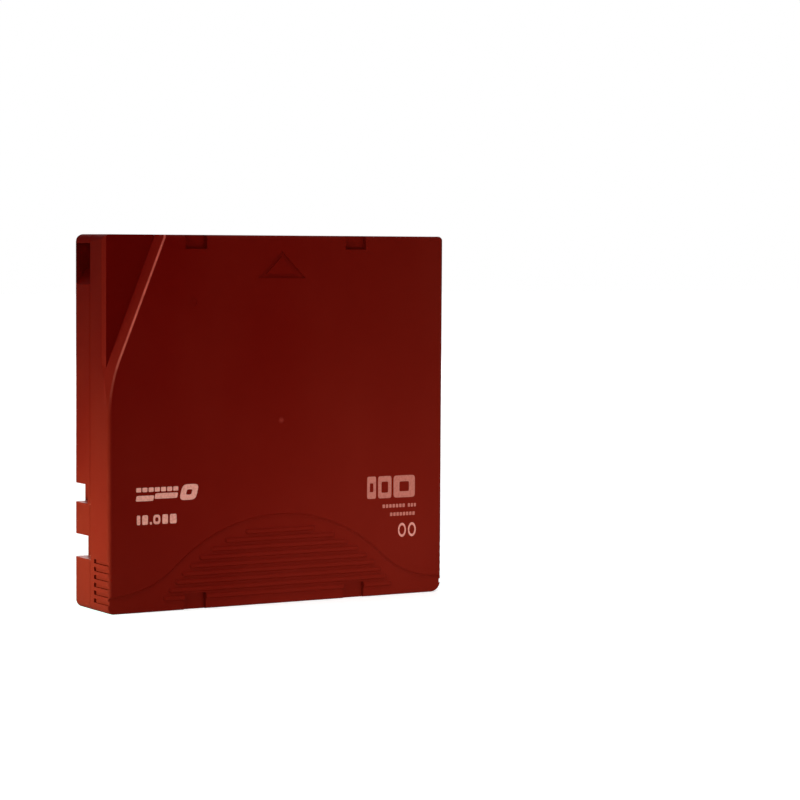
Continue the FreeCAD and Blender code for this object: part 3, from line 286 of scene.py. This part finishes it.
# %% [markdown]
# ## Dark red moulded plastic
#
# Both shells are injection moulded in one dark red plastic. The mould is spark eroded, which
# leaves a fine even grain, so the surface is satin and not glossy. Several things keep it from
# looking like a flat colour: the grain itself, as a bump finer than a millimetre; a painted light
# gradient that makes the colour lighter towards the lower right, mixed with a little random tone
# from the flow; edges that hands and drives have rubbed; painted light on the guide's wall,
# painted shade on its floor and painted highlights on its crest and on the notches' sills; and the
# small mark in the middle of the face, where the plastic went in, a shallow bump with a painted
# highlight. Wear is usually painted by hand or baked, but here each mask is a formula of the
# place. The one for the edges is the shortest: a point near an edge of a box is close to two of
# its three pairs of sides, so the sum of its two smallest distances is small.

# %% Where the case's edges are
def edge_distance(finish):
    """Sum of the two smaller distances from the sides of the case's box, in millimetres."""
    x, y, z = finish.place()
    across = RIGHT / MM - abs(x)
    through = BACK_FACE / MM - abs(y)
    along = MIDDLE_Z / MM - abs(z - MIDDLE_Z / MM)
    largest = across.most(through).most(along)
    return across + through + along - largest


# %% The insertion guide's masks
# The guide in millimetres: a slope, then an arc that brings it back to the left edge.
GUIDE_TILT = math.radians(22.2)     # the slope's angle against the long axis
GUIDE_R = 42.2
GUIDE_START = 53.0                  # height at which the arc starts
GUIDE_INSET = 0.5                   # from the left side to the arc's start
GUIDE_DEPTH = 2.75                  # from the large face down to the guide's floor
# Each pair says where a mask is 0 and where it is 1.
ARC_END = (-0.01, 0.01)             # along the slope, where the straight part takes over
CREST_EDGES = (0.34, 0.34 / 3)      # from the crest, to both sides
CREST_DROP = (1.0, 0.6)             # below the large face
CREST_HIGHLIGHT_RISE = (0.0, 27.0)            # above the arc's start, where the painted highlight on the crest fades in
BESIDE_CREST = (0.1, 0.3)           # to the left of the crest
WALL_REACH = (2.0, 1.8)             # to the left of the crest
WALL_FOOT = (GUIDE_DEPTH - 0.05, GUIDE_DEPTH - 0.15)    # below the large face
WALL_LIGHT_RISE = (0.0, 14.0)             # above the arc's start, where the painted light on the wall fades in
BEVEL_REACH = (0.9, 0.7)            # from the left side
BEVEL_FOOT = (4.4, 4.1)             # below the large face
OFF_THE_SIDE = (0.02, 0.10)         # from the left side, which has no mask itself
FLOOR_LEVEL = (0.20, 0.10)          # from the floor, to both sides
FLOOR_START = (0.8, 1.2)            # to the left of the crest
FLOOR_INSET = (0.6, 0.8)            # from the left side
WALL_LIGHT_SHARE, BEVEL_LIGHT_SHARE = 0.5, 0.4  # how strongly painted light is laid on the wall and the bevel


def guide_masks(finish):
    """Masks of the guide at the front left corner, which slides along the drive's rail: one for
    a painted highlight on the step's crest, one for painted light on its wall and the bevel, and one
    for painted shade on its floor. The crest is an arc that starts just inside the left edge, then
    its tangent: past the arc's end the distance from the tangent counts, before it the distance from
    the circle."""
    x, y, z = finish.place()
    east, along = x - (LEFT / MM + GUIDE_INSET + GUIDE_R), z - GUIDE_START
    round_part = GUIDE_R - distance(east, along)
    straight_part = along * math.sin(GUIDE_TILT) - east * math.cos(GUIDE_TILT) - GUIDE_R
    past_arc = east * math.sin(GUIDE_TILT) + along * math.cos(GUIDE_TILT)
    beyond = past_arc.fade(*ARC_END)
    left_of_crest = beyond * (straight_part + round_part) - round_part
    depth, inward = y - FRONT_FACE / MM, x - LEFT / MM
    # The crest's mask, where a painted highlight goes.
    crest = abs(left_of_crest).fade(*CREST_EDGES) * depth.fade(*CREST_DROP)
    beside = left_of_crest.fade(*BESIDE_CREST)
    wall = beside * left_of_crest.fade(*WALL_REACH) * depth.fade(*WALL_FOOT)
    bevel = inward.fade(*BEVEL_REACH) * depth.fade(*BEVEL_FOOT) * inward.fade(*OFF_THE_SIDE)
    # The floor's mask, where painted shade goes.
    on_floor = abs(depth - GUIDE_DEPTH).fade(*FLOOR_LEVEL) * left_of_crest.fade(*FLOOR_START)
    # Painted light on the step's wall and on the bevel beside the left side, fading in above the
    # arc's start.
    rubbed = (WALL_LIGHT_SHARE * wall).most(BEVEL_LIGHT_SHARE * bevel * beside) * along.fade(*WALL_LIGHT_RISE)
    return crest * along.fade(*CREST_HIGHLIGHT_RISE), rubbed, on_floor * inward.fade(*FLOOR_INSET)


# %% Sills and gate mark
SILL_HEIGHTS = (13.9, 29.0)     # of the two notches' lower faces, in millimetres
# Each pair says where a mask is 0 and where it is 1.
SILL_LEVEL = (0.20, 0.08)       # from a sill, above and below
SILL_REACH = (4.3, 4.2)         # from the side
SILL_START = (0.7, 0.9)         # behind the parting line
OFF_THE_FACES = (0.02, 0.12)    # from the outer faces, which have no mask themselves
GATE_EDGE = (1.1, 0.2)          # from the middle of the face
GATE_FACE = (1.0, 0.6)          # below the large face


def sills(finish):
    """1 on the lower faces of the side notches, where a painted highlight makes the sills lighter.
    """
    x, y, z = finish.place()
    inward = RIGHT / MM - abs(x)
    inside = inward.fade(*SILL_REACH) * inward.fade(*OFF_THE_FACES)
    inside = inside * y.fade(*SILL_START) * (BACK_FACE / MM - y).fade(*OFF_THE_FACES)
    lower, upper = (abs(z - height).fade(*SILL_LEVEL) for height in SILL_HEIGHTS)
    return inside * lower.most(upper)


def gate_mark(finish):
    """1 at the middle of the large face, where the plastic entered the mould, falling to 0. The mask
    raises a shallow bump there and carries a painted highlight.
    """
    x, y, z = finish.place()
    from_middle = distance(x, z - MIDDLE_Z / MM)
    return from_middle.fade(*GATE_EDGE) * (y - FRONT_FACE / MM).fade(*GATE_FACE)


# %% The shells' finish
SHELL_RED = (0.196, 0.0115, 0.0056)         # lit end of the painted light gradient, at the lower right, and light end of the flow's tone
SHELL_DEEP = (0.133, 0.0014, 0.0004)        # painted shade: dark end of the light gradient, at the upper left, and dark end of the flow's tone
SHELL_WORN = (0.300, 0.0300, 0.0180)        # along the case's edges
SHELL_WALL_PAINTED_LIGHT = (0.240, 0.0095, 0.0060)      # painted light on the guide's wall and bevel
SHELL_PAINTED_HIGHLIGHT = (0.640, 0.1000, 0.0720)    # painted highlight on the guide's crest, the sills and the gate mark
GUIDE_FLOOR_PAINTED_SHADE = 0.87          # painted shade: the guide's floor is made darker by this share
GRAIN_SIZE, GRAIN_DEPTH = 0.22, 0.012       # millimetres, as all sizes and depths here
FLOW_SIZE, FLOW_DEPTH = 28.0, 0.05
GATE_DEPTH = 0.08
EDGE_WEAR = (1.5, 0.35)     # the edge distances where wear starts and where it is full
PAINTED_LIGHT_RIGHT, PAINTED_LIGHT_DOWN = 0.85, 0.75        # painted light: the colour gets lighter this way, from the middle
PAINTED_LIGHT_REACH = 75.0
FLOW_SHARE = 0.25           # of the tone; the painted light gradient has the rest
SATIN = 0.47                # roughness where nothing has rubbed


def shaded(colour, share):
    """A colour made darker or lighter, where a share of 1 leaves it as it is."""
    return tuple(min(1.0, part * share) for part in colour)


def shell_plastic():
    """Satin red plastic: a painted light gradient across the case with a little random tone from the
    flow, then the masks on top, each with its own colour: painted shade on the guide's floor,
    painted light on its wall, lighter worn edges, painted highlights on the crest, the sills and the
    gate mark; and more coat on the edges, the crest and the sills."""
    finish = Finish("shell_plastic", Specular_IOR_Level=0.0, Coat_Roughness=0.34)
    grain = finish.noise(size=GRAIN_SIZE, detail=3.0)
    flow = finish.noise(size=FLOW_SIZE, detail=3.0, stretch=(1.0, 1.0, 1.8))
    scuffs = finish.noise(size=3.5, detail=5.0, stretch=(2.5, 1.0, 0.35)).fade(0.60, 0.78)
    edge_patches = finish.noise(size=6.0, detail=4.0).fade(0.3, 0.7)
    crest_patches = finish.noise(size=4.0, detail=3.0).fade(0.3, 0.6)
    crest, painted_wall_light, painted_floor_shade = guide_masks(finish)
    crest = crest * (0.65 + 0.35 * crest_patches)
    worn = edge_distance(finish).fade(*EDGE_WEAR) * (0.35 + 0.65 * edge_patches)
    polish = (0.2 * worn).most(crest)
    # Masks of the painted highlights on the sills and at the gate mark, whose bump is real relief.
    sill, gate = sills(finish), gate_mark(finish)

    x, _, z = finish.place()
    # Painted light and shade: the colour gets lighter towards the lower right and darker towards the
    # upper left.
    painted_light_gradient = PAINTED_LIGHT_RIGHT * x - PAINTED_LIGHT_DOWN * (z - MIDDLE_Z / MM)
    painted_light_gradient = painted_light_gradient.fade(-PAINTED_LIGHT_REACH, PAINTED_LIGHT_REACH)
    red_share = (1 - FLOW_SHARE) * painted_light_gradient + FLOW_SHARE * flow.fade(0.25, 0.75)
    colour = finish.mix(red_share, SHELL_DEEP, SHELL_RED)
    # Painted shade on the guide's floor.
    colour = finish.mix(painted_floor_shade, colour, shaded(SHELL_DEEP, GUIDE_FLOOR_PAINTED_SHADE))
    # Painted light on the guide's wall and bevel.
    colour = finish.mix(painted_wall_light, colour, SHELL_WALL_PAINTED_LIGHT)
    colour = finish.mix(0.08 * worn, colour, SHELL_WORN)
    # Painted highlights on the crest, the sills and the gate mark.
    colour = finish.mix(crest.most(0.8 * sill).most(0.16 * gate), colour, SHELL_PAINTED_HIGHLIGHT)
    roughness = SATIN + 0.10 * (grain - 0.5) + 0.05 * (flow - 0.5) - 0.10 * polish - 0.05 * scuffs
    coat = 0.03 + 0.15 * polish + 0.02 * scuffs + 0.35 * sill
    normal = finish.bump(gate, GATE_DEPTH)
    normal = finish.bump(flow, FLOW_DEPTH, normal)
    normal = finish.bump(grain, GRAIN_DEPTH, normal)
    return finish.drive(Base_Color=colour, Roughness=roughness, Normal=normal, Coat_Weight=coat)


dress(shell_plastic(), "upper_shell", "lower_shell")

# %% [markdown]
# ## The other plastics
#
# Inside the case nearly everything is plastic too, but each piece is a different one. The reel
# is a pale grey that shows dust from wear at the teeth, the brake and its pad are white acetal,
# which is slightly waxy, and the door is a smooth black. One function makes them all: they
# differ in colour, in how coarse their grain is and in how rough they are.

# %% Plain moulded finishes
TONE_SPREAD = 0.12          # how much darker and lighter a plastic gets than its colour
PLAIN_GRAIN_DEPTH = 0.006


def moulded(name, colour, roughness, grain_size=0.3):
    """Moulded plastic: fine grain, a little unevenness of tone and a few shinier rubbed spots."""
    finish = Finish(name, Specular_IOR_Level=0.4)
    grain = finish.noise(size=grain_size, detail=3.0)
    tone = finish.noise(size=9.0, detail=3.0).fade(0.3, 0.7)
    rubbed = finish.noise(size=2.6, detail=4.0).fade(0.56, 0.72)
    shade = finish.mix(tone, shaded(colour, 1 - TONE_SPREAD), shaded(colour, 1 + TONE_SPREAD))
    return finish.drive(Base_Color=shade, Normal=finish.bump(grain, PLAIN_GRAIN_DEPTH),
                        Roughness=roughness + 0.08 * (grain - 0.5) - 0.08 * rubbed)


dress(moulded("reel_plastic", (0.42, 0.43, 0.44), 0.38), "reel_hub", "reel_upper_flange")
dress(moulded("brake_acetal", (0.74, 0.72, 0.67), 0.40, 0.5), "brake_button")
dress(moulded("pad_acetal", (0.70, 0.69, 0.66), 0.40, 0.5), "release_pad")
dress(moulded("door_plastic", (0.022, 0.022, 0.024), 0.36, 0.25), "access_door")
dress(moulded("clip_plastic", (0.58, 0.58, 0.56), 0.40), "tape_clip")
dress(moulded("switch_plastic", (0.50, 0.030, 0.018), 0.38), "write_protect_switch")

# %% [markdown]
# ## Metals
#
# Metal is told from plastic by how it was worked. A turned ring and a ground plate have marks
# that run round the reel's axis, so their pattern depends only on the distance from it. Drawn
# wire is smooth, and the plated screws are a little cloudy. All of them are fully metallic;
# the marks go into roughness and a very shallow bump.

# %% Marks that run round the reel's axis
REEL_AXIS_Z = sum(corner.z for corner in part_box("reel_hub")) / 2


def from_axis(finish):
    """Distance from the reel's axis in millimetres."""
    x, _, z = finish.place()
    return distance(x, z - REEL_AXIS_Z / MM)


def rings(finish, radius, pitch):
    """Uneven rings round the axis: noise read at a place that moves only with the radius."""
    where = finish.node("ShaderNodeCombineXYZ", {}, {0: radius / pitch, 1: 0.0, 2: 0.0})
    return finish.noise_at(where, detail=2.0)


# %% Turned, ground, drawn and plated metal
TOOL_MARK_DEPTH = 0.004


def worked_metal(name, colour, roughness, pitch=None, dullest=0.82):
    """Metal with rings of that pitch round the reel's axis, or with a fine even grain, and with
    clouds where it is duller, down to a share of its colour."""
    finish = Finish(name, Metallic=1.0)
    cloud = finish.noise(size=2.2, detail=4.0)
    if pitch is None:
        marks = finish.noise(size=0.35, detail=3.0)
    else:
        marks = rings(finish, from_axis(finish), pitch)
    shade = finish.mix(cloud.fade(0.3, 0.75), shaded(colour, dullest), colour)
    return finish.drive(Base_Color=shade, Normal=finish.bump(marks, TOOL_MARK_DEPTH),
                        Roughness=roughness + 0.16 * (marks - 0.5) + 0.08 * (cloud - 0.5))


dress(worked_metal("turned_aluminium", (0.76, 0.76, 0.78), 0.30, 0.25), "hub_ring")
dress(worked_metal("ground_plate", (0.60, 0.60, 0.61), 0.26, 0.18, dullest=0.92), "reel_plate")
dress(worked_metal("plated_screws", (0.47, 0.47, 0.48), 0.34), "case_screws")
dress(worked_metal("turned_pin", (0.62, 0.62, 0.63), 0.22), "leader_pin")
spring_wire = worked_metal("spring_wire", (0.50, 0.50, 0.52), 0.28)
dress(spring_wire, "leader_pin_spring")

# %% [markdown]
# ## Wound tape
#
# Some nine hundred metres of film a few thousandths of a millimetre thick are wound on the hub.
# The outside of the pack is one glossy turn. Its two ends are thousands of edges, which read as
# fine rings that catch the light in bands, because the winding is never perfectly even. The same
# ring pattern does both: at the outside the radius hardly changes, so it comes out smooth.

# %% The film's finish
FILM_DARK = (0.020, 0.014, 0.011)
FILM_LIGHT = (0.052, 0.038, 0.030)
TURN_PITCH, BAND_PITCH = 0.12, 2.5      # millimetres


def tape_film():
    """Film wound on the hub: fine rings for its turns, and broad ones where the winding changes."""
    finish = Finish("tape_film", Specular_IOR_Level=0.5)
    radius = from_axis(finish)
    fine = rings(finish, radius, TURN_PITCH)
    bands = rings(finish, radius, BAND_PITCH)
    colour = finish.mix(bands.fade(0.3, 0.7), FILM_DARK, FILM_LIGHT)
    return finish.drive(Base_Color=colour, Roughness=0.22 + 0.16 * fine + 0.10 * bands,
                        Normal=finish.bump(fine, depth=0.01))


dress(tape_film(), "tape_pack", "leader_tape")

# %% [markdown]
# ## The memory board
#
# A small board stands at 45 degrees in a rear corner. It holds a chip and an aerial, a few
# square turns of copper under green lacquer. The turns are lines of equal distance from the
# nearest rim, and their edges are too fine to model, so they are worked out in the finish. The
# board leans, so a distance along it is its share in z times the square root of two.

# %% Lacquered board and encapsulated chip
TRACK_PITCH = 0.7                       # millimetres between the aerial's turns
AERIAL_START, AERIAL_END = (0.4, 0.5), (2.8, 2.7)   # from the board's rim, where 0 and where 1
LACQUER = (0.012, 0.105, 0.045)
LACQUERED_COPPER = (0.055, 0.230, 0.085)


def board_lacquer():
    """Green lacquer over square turns of copper: a wave of the distance from the nearest rim."""
    finish = Finish("board_lacquer", Specular_IOR_Level=0.5)
    low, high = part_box("memory_board")
    x, _, z = finish.place()
    mid_x, half_x = (low.x + high.x) / 2 / MM, (high.x - low.x) / 2 / MM
    mid_z, half_z = (low.z + high.z) / 2 / MM, (high.z - low.z) / 2 / MM
    from_ends = half_x - abs(x - mid_x)
    from_sides = (half_z - abs(z - mid_z)) * math.sqrt(2)
    depth = from_ends.least(from_sides)
    turns = (depth * (2 * math.pi / TRACK_PITCH)).sine().fade(0.0, 0.35)
    aerial = turns * depth.fade(*AERIAL_START) * depth.fade(*AERIAL_END)
    colour = finish.mix(aerial * 0.8, LACQUER, LACQUERED_COPPER)
    weave = finish.noise(size=0.4, detail=2.0)
    normal = finish.bump(aerial, depth=0.03, below=finish.bump(weave, depth=0.004))
    return finish.drive(Base_Color=colour, Roughness=0.28 + 0.1 * weave, Normal=normal)


dress(board_lacquer(), "memory_board")
dress(moulded("chip_resin", (0.018, 0.018, 0.019), 0.45, 0.15), "memory_chip")

# %% [markdown]
# ## Springs of round wire
#
# The brake's spring and the door's spring are wound from round wire, and both ends are closed:
# the last turn lies flat against its neighbour so that the spring stands square. A sweep along a
# curve would do it, but the formula is short. The centreline goes round the axis at a constant
# rate while it rises slowly in the end turns and evenly between them, and a small circle is
# carried along it.

# %% Wire carried along a helix
def coil_grid(length, radius, wire, turns, per_turn=40, sides=12):
    """Points of a wound spring along +Z, from 0 to its length.
    Centreline: (R cos a, R sin a, h(a)), where h climbs one wire per turn in the end turns.
    Section: a circle of the wire's radius in the plane of the axis and the radius."""
    angle = np.linspace(0.0, 2 * math.pi * turns, int(per_turn * turns) + 1)
    turn = angle / (2 * math.pi)
    end_turns = np.clip(turn, 0, 1) + np.clip(turn - (turns - 1), 0, 1)
    open_turns = np.clip(turn - 1, 0, turns - 2)
    open_pitch = (length - wire - 2 * wire) / (turns - 2)   # one wire goes to each end turn
    height = wire / 2 + end_turns * wire + open_turns * open_pitch
    round_wire = np.linspace(0, 2 * math.pi, sides, endpoint=False)
    swell = np.ones_like(angle)
    swell[[0, -1]] = 0.0        # the first and last ring shrink to a point and close the wire
    out = radius + swell[:, None] * (wire / 2) * np.cos(round_wire)[None, :]
    up = height[:, None] + swell[:, None] * (wire / 2) * np.sin(round_wire)[None, :]
    return np.stack([out * np.cos(angle)[:, None], out * np.sin(angle)[:, None], up], axis=-1)


def turned_to(points, start, direction):
    """Moves points laid out along +Z so that they start at a place and run along a direction."""
    turn = np.array(Vector((0, 0, 1)).rotation_difference(Vector(direction)).to_matrix())
    return points @ turn.T + np.array(start)


# %% The two wound springs
def wound_spring(piece_name, node, axis, wire, turns, joint):
    """Replaces a spring node by round wire along an axis."""
    low, high = (np.array(corner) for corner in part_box(node))
    lowest, highest = joints[joint]["range_m"]
    travel = highest - lowest
    middle, size = (low + high) / 2, high - low
    direction = np.array(axis, float)
    length = abs(size @ direction)
    radius = max(size - abs(direction) * length) / 2 - wire / 2
    start = middle - direction * length / 2
    points = turned_to(coil_grid(length, radius, wire, turns), start, direction)
    spring = mesh_piece(piece_name, [points])
    spring.data.materials.append(spring_wire.material)
    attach(spring, "case")
    (length - travel) / length
    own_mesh(spring)
    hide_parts(node)
    print(piece_name, "length", round(length / MM, 2), "mm, radius", round(radius / MM, 2), "mm")


wound_spring("brake_coil", "brake_spring", axis=(0, -1, 0), wire=0.7 * MM, turns=5.5,
             joint="brake_lift")
wound_spring("door_coil", "door_spring", axis=(0, 0, 1), wire=0.3 * MM, turns=21.0,
             joint="door_slide")

# %% [markdown]
# ## Print
#
# The upper shell carries a few small marks in pale ink near its rear corners. Ink is a film of
# a hundredth of a millimetre that stands on the plastic. A mask in the shell's finish could draw
# it too, but its edge would then be only as sharp as a baked picture, so each mark is a thin
# closed patch of its own. Its outline is a superellipse, which goes from a circle to a rounded
# bar as its power grows: |x / a|^n + |z / b|^n = 1.

# %% Patches of ink
INK_TOP = FRONT_FACE - 0.010 * MM       # the ink stands this far out
INK_FOOT = FRONT_FACE + 0.030 * MM      # and its rim goes this far into the plastic


def outline(wide, high, power, slant, count=64):
    """Points (x, z) of a superellipse of that width and height, leaning by slant."""
    turn = np.linspace(0, 2 * math.pi, count, endpoint=False)
    x = wide / 2 * np.sign(np.cos(turn)) * np.abs(np.cos(turn)) ** (2 / power)
    z = high / 2 * np.sign(np.sin(turn)) * np.abs(np.sin(turn)) ** (2 / power)
    return np.stack([x + slant * z, z], axis=-1)


def mark(x, z, wide, high, power=9.0, slant=0.0, hole=0.0):
    """Patch of ink whose lower left corner is x from the left side and z from the rear, in mm.
    Rows of the grid: middle, rim on top, rim at the foot, middle of the foot. With a hole, a share
    of the outline, the middle rows stay open and the rows close on themselves instead."""
    centre = np.array([LEFT / MM + x + wide / 2, z + high / 2])
    rim = outline(wide, high, power, slant)
    shares = np.array([hole, 1.0, 1.0, hole, hole] if hole else [0.0, 1.0, 1.0, 0.0])
    depth = np.array([INK_TOP, INK_TOP, INK_FOOT, INK_FOOT, INK_TOP][:len(shares)])
    plan = centre + shares[:, None, None] * rim[None, :, :]
    level = np.broadcast_to(depth[:, None], plan.shape[:2])
    return np.stack([plan[..., 0] * MM, level, plan[..., 1] * MM], axis=-1)


def dashes(x, z, widths, high, gap):
    """Row of marks of those widths from left to right, a gap apart."""
    marks = []
    for wide in widths:
        marks.append(mark(x, z, wide, high, power=6.0))
        x += wide + gap
    return marks


# %% The finish of the ink
INK_SALMON = (0.85, 0.35, 0.28)
INK_FAINT = (0.56, 0.175, 0.130)    # a thinner coat, which the large marks have
THINNEST_COVER = 0.72       # share of the ink's own colour where it is thinnest


def pad_ink(name, colour):
    """Ink put on with a pad: it covers a little unevenly, and a thin coat lets the red through."""
    finish = Finish(name, Specular_IOR_Level=0.3)
    cover = finish.noise(size=0.5, detail=3.0).fade(0.30, 0.62)
    shade = finish.mix(THINNEST_COVER + (1 - THINNEST_COVER) * cover, SHELL_WORN, colour)
    return finish.drive(Base_Color=shade, Roughness=0.50 + 0.1 * cover,
                        Normal=finish.bump(cover, depth=0.004))


# %% Place the marks
# All in millimetres: x and z of the lower left corner, then widths and heights.
SMALL_GAP = 0.3
full_ink, faint_ink = pad_ink("full_ink", INK_SALMON), pad_ink("faint_ink", INK_FAINT)

left_marks = dashes(8.3, 32.75, (1.5,) * 7, 1.2, gap=0.35)
left_marks.append(mark(8.3, 30.3, 5.2, 1.5, slant=0.2))
left_marks.append(mark(13.9, 30.8, 6.8, 1.5, slant=0.2))
left_marks.append(mark(21.7, 30.1, 5.0, 4.3, power=4.0, slant=0.25, hole=0.33))
left_marks += dashes(8.5, 23.9, (1.0, 1.7), 2.6, gap=0.6)
left_marks.append(mark(12.4, 23.9, 0.6, 0.7, power=4.0))
left_marks.append(mark(13.4, 23.9, 2.1, 2.6, power=3.0, hole=0.45))
left_marks += dashes(16.1, 23.9, (1.7, 2.0), 2.6, gap=0.6)

right_marks = [mark(x, 27.8, wide, 6.3, hole=hole)
               for x, wide, hole in ((80.4, 2.9, 0.40), (84.0, 4.4, 0.50), (89.1, 7.1, 0.45))]
right_marks += dashes(85.5, 25.0, (0.8,) * 7, 1.0, SMALL_GAP)
right_marks += dashes(93.9, 25.0, (0.7,) * 3, 1.0, SMALL_GAP)
right_marks += dashes(88.0, 22.6, (0.8,) * 8, 1.0, gap=0.26)
ring_marks = [mark(x, 16.5, 2.6, 4.0, power=2.0, hole=0.66) for x in (90.7, 94.0)]

for name, marks, ink in (("print_left", left_marks, full_ink),
                         ("print_right", right_marks, faint_ink),
                         ("print_rings", ring_marks, full_ink)):
    piece = mesh_piece(name, marks, smooth=False)
    piece.data.materials.append(ink.material)
    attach(piece, "case")

# %% [markdown]
# ## Floor and surroundings
#
# A product table is a pale sheet under a soft sky. The background should come out white without
# more light on the object, so what the camera and mirror-like rays meet is white, and what lights
# the object is a plain grey sky. The floor gets a little glow for the same rays only: where the
# light reaches it, it turns white, and the object's shadow stays.

# %% Floor
FLOOR_HALF = 4.0            # metres
FLOOR_GLOW = 0.62           # near the object; far off it is 1
FAR_OFF = (0.25, 0.9)       # metres from the middle, where the glow starts to grow and where it ends
ends = (-FLOOR_HALF, FLOOR_HALF)
floor = mesh_piece("floor", [np.array([[(x, y, 0.0) for x in ends] for y in ends])],
                   closed=False, smooth=False)
sheet = Finish("pale_sheet", Roughness=0.9, Specular_IOR_Level=0.1)
sheet_tone = sheet.mix(sheet.noise(size=300.0), (0.80,) * 3, (0.82,) * 3)


def seen_directly(finish):
    """1 for rays from the camera and for those that a mirror or glass sends on."""
    path = finish.tree.nodes.new("ShaderNodeLightPath").outputs
    camera, glossy, transmission = (Value(finish, path[f"Is {kind} Ray"])
                                    for kind in ("Camera", "Glossy", "Transmission"))
    return (camera + glossy + transmission).clamp()


east, north, _ = sheet.place()
far_off = (distance(east, north) * MM).fade(*FAR_OFF)
glow_level = seen_directly(sheet) * (FLOOR_GLOW + far_off * (1 - FLOOR_GLOW))
glow = sheet.node("ShaderNodeEmission", {}, {"Color": (1, 1, 1, 1), "Strength": glow_level})
both = sheet.node("ShaderNodeAddShader", {}, {0: sheet.shader.outputs[0], 1: glow})
sheet.feed(sheet.tree.nodes["Material Output"].inputs["Surface"], both)
sheet.drive(Base_Color=sheet_tone)
floor.data.materials.append(sheet.material)

# %% Sky
SKY_LEVEL = 0.06


class Surroundings(Finish):
    """The world's nodes, with the same methods as a finish but a background for a shader."""

    def __init__(self, name):
        world = bpy.data.worlds.new(name)
        world.use_nodes = True
        bpy.context.scene.world = world
        self.tree = world.node_tree
        self.background = self.tree.nodes["Background"]
        self.background.inputs["Color"].default_value = (1, 1, 1, 1)


sky = Surroundings("sky")
sky.feed(sky.background.inputs["Strength"], SKY_LEVEL + (1 - SKY_LEVEL) * seen_directly(sky))
print("sky level on the pieces:", SKY_LEVEL)

# %% [markdown]
# ## Lamps
#
# The form is read from small differences in level, so each lamp has one job. One high in front
# grazes the large face from above and picks out the ribs' upper flanks. One low in front and a
# strip at its foot stand for the light that a pale table throws back, and make the face lighter
# downwards. A window far to the left lights the step's wall, and a small lamp low beside the
# left wall makes that wall the brightest side and lets it fade upwards. One overhead is for the
# floor and one behind for the back. Each is set by the level that it gives at the object, where
# 1 would show a colour as it is written: a lamp of P watts gives about P / (10 d^2) at d metres.

# %% Soft lamps
WATTS_PER_LEVEL = 10        # at one metre


def soft_lamp(name, place, aim, size, level, mirrored=True, colour=(1.0, 1.0, 1.0)):
    """Rectangular lamp at a place, turned to a point, giving about that level there. A lamp that
    isn't mirrored lights the pieces but doesn't shine in them."""
    lamp = bpy.data.lights.new(name, "AREA")
    lamp.shape = "RECTANGLE"
    lamp.size, lamp.size_y = size
    lamp.color = colour
    away = Vector(aim) - Vector(place)
    lamp.energy = WATTS_PER_LEVEL * level * away.length_squared
    lamp_object = bpy.data.objects.new(name, lamp)
    lamp_object.location = place
    lamp_object.rotation_euler = away.to_track_quat("-Z", "Y").to_euler()
    lamp_object.visible_camera = False
    lamp_object.visible_glossy = mirrored
    bpy.context.scene.collection.objects.link(lamp_object)
    print(name, round(lamp.energy, 2), "W at", round(away.length, 2), "m")


soft_lamp("overhead", place=(0.1, -0.1, 1.4), aim=(0, 0, 0), size=(1.4, 1.4), level=0.20)
soft_lamp("window", place=(-0.80, -0.50, 0.32), aim=(0, 0, 0.05), size=(0.4, 0.4), level=0.13,
          mirrored=False)
soft_lamp("front_high", place=(-0.20, -0.45, 1.20), aim=(0, FRONT_FACE, 0.03), size=(0.25, 0.25),
          level=0.22, mirrored=False)
soft_lamp("front_low", place=(0.025, -0.170, 0.020), aim=(0.045, FRONT_FACE, 0.020),
          size=(0.06, 0.05), level=0.22, mirrored=False)
soft_lamp("front_foot", place=(0.03, -0.075, 0.006), aim=(0.03, FRONT_FACE, 0.006),
          size=(0.12, 0.008), level=0.26, mirrored=False)
soft_lamp("left_low", place=(LEFT - 0.062, 0.0, 0.012), aim=(LEFT, 0.0, 0.014),
          size=(0.016, 0.03), level=5.6, mirrored=False, colour=(0.31, 1.0, 0.80))
soft_lamp("behind", place=(0.5, 1.2, 0.7), aim=(0, 0, 0.05), size=(0.9, 0.9), level=0.35)

# %% [markdown]
# ## Camera
#
# A product shot uses a long lens from a fair distance, which keeps the case's sides nearly
# parallel. The camera stands a little above the table's level, just under the height of the
# case, and looks past the cartridge to the right, which leaves room beside it.

# %% Camera
CAMERA_PLACE = Vector((-0.35738, -0.66120, 0.10000))
YAW, PITCH, ROLL = (math.radians(angle) for angle in (31.318, -3.338, 0.351))
camera_data = bpy.data.cameras.new("camera")
camera_data.sensor_width = 36.0
camera_data.lens = 120.78
camera_data.clip_start = 0.01
# It looks along the yaw from +Y towards +X, down by the pitch, and leans to its right by the roll.
ahead = Vector((math.sin(YAW), math.cos(YAW), 0.0))
forward = ahead * math.cos(PITCH) + Vector((0.0, 0.0, math.sin(PITCH)))
level_right = Vector((math.cos(YAW), -math.sin(YAW), 0.0))
level_up = level_right.cross(forward)
right = level_right * math.cos(ROLL) + level_up * math.sin(ROLL)
up = level_up * math.cos(ROLL) - level_right * math.sin(ROLL)
turned = Matrix((right, up, -forward)).transposed().to_4x4()
camera = bpy.data.objects.new("camera", camera_data)
camera.matrix_world = Matrix.Translation(CAMERA_PLACE) @ turned
bpy.context.scene.collection.objects.link(camera)
bpy.context.scene.camera = camera
bpy.context.scene.view_settings.view_transform = "Standard"
print("camera to the case:", round((CAMERA_PLACE - case_low).length, 3), "m")
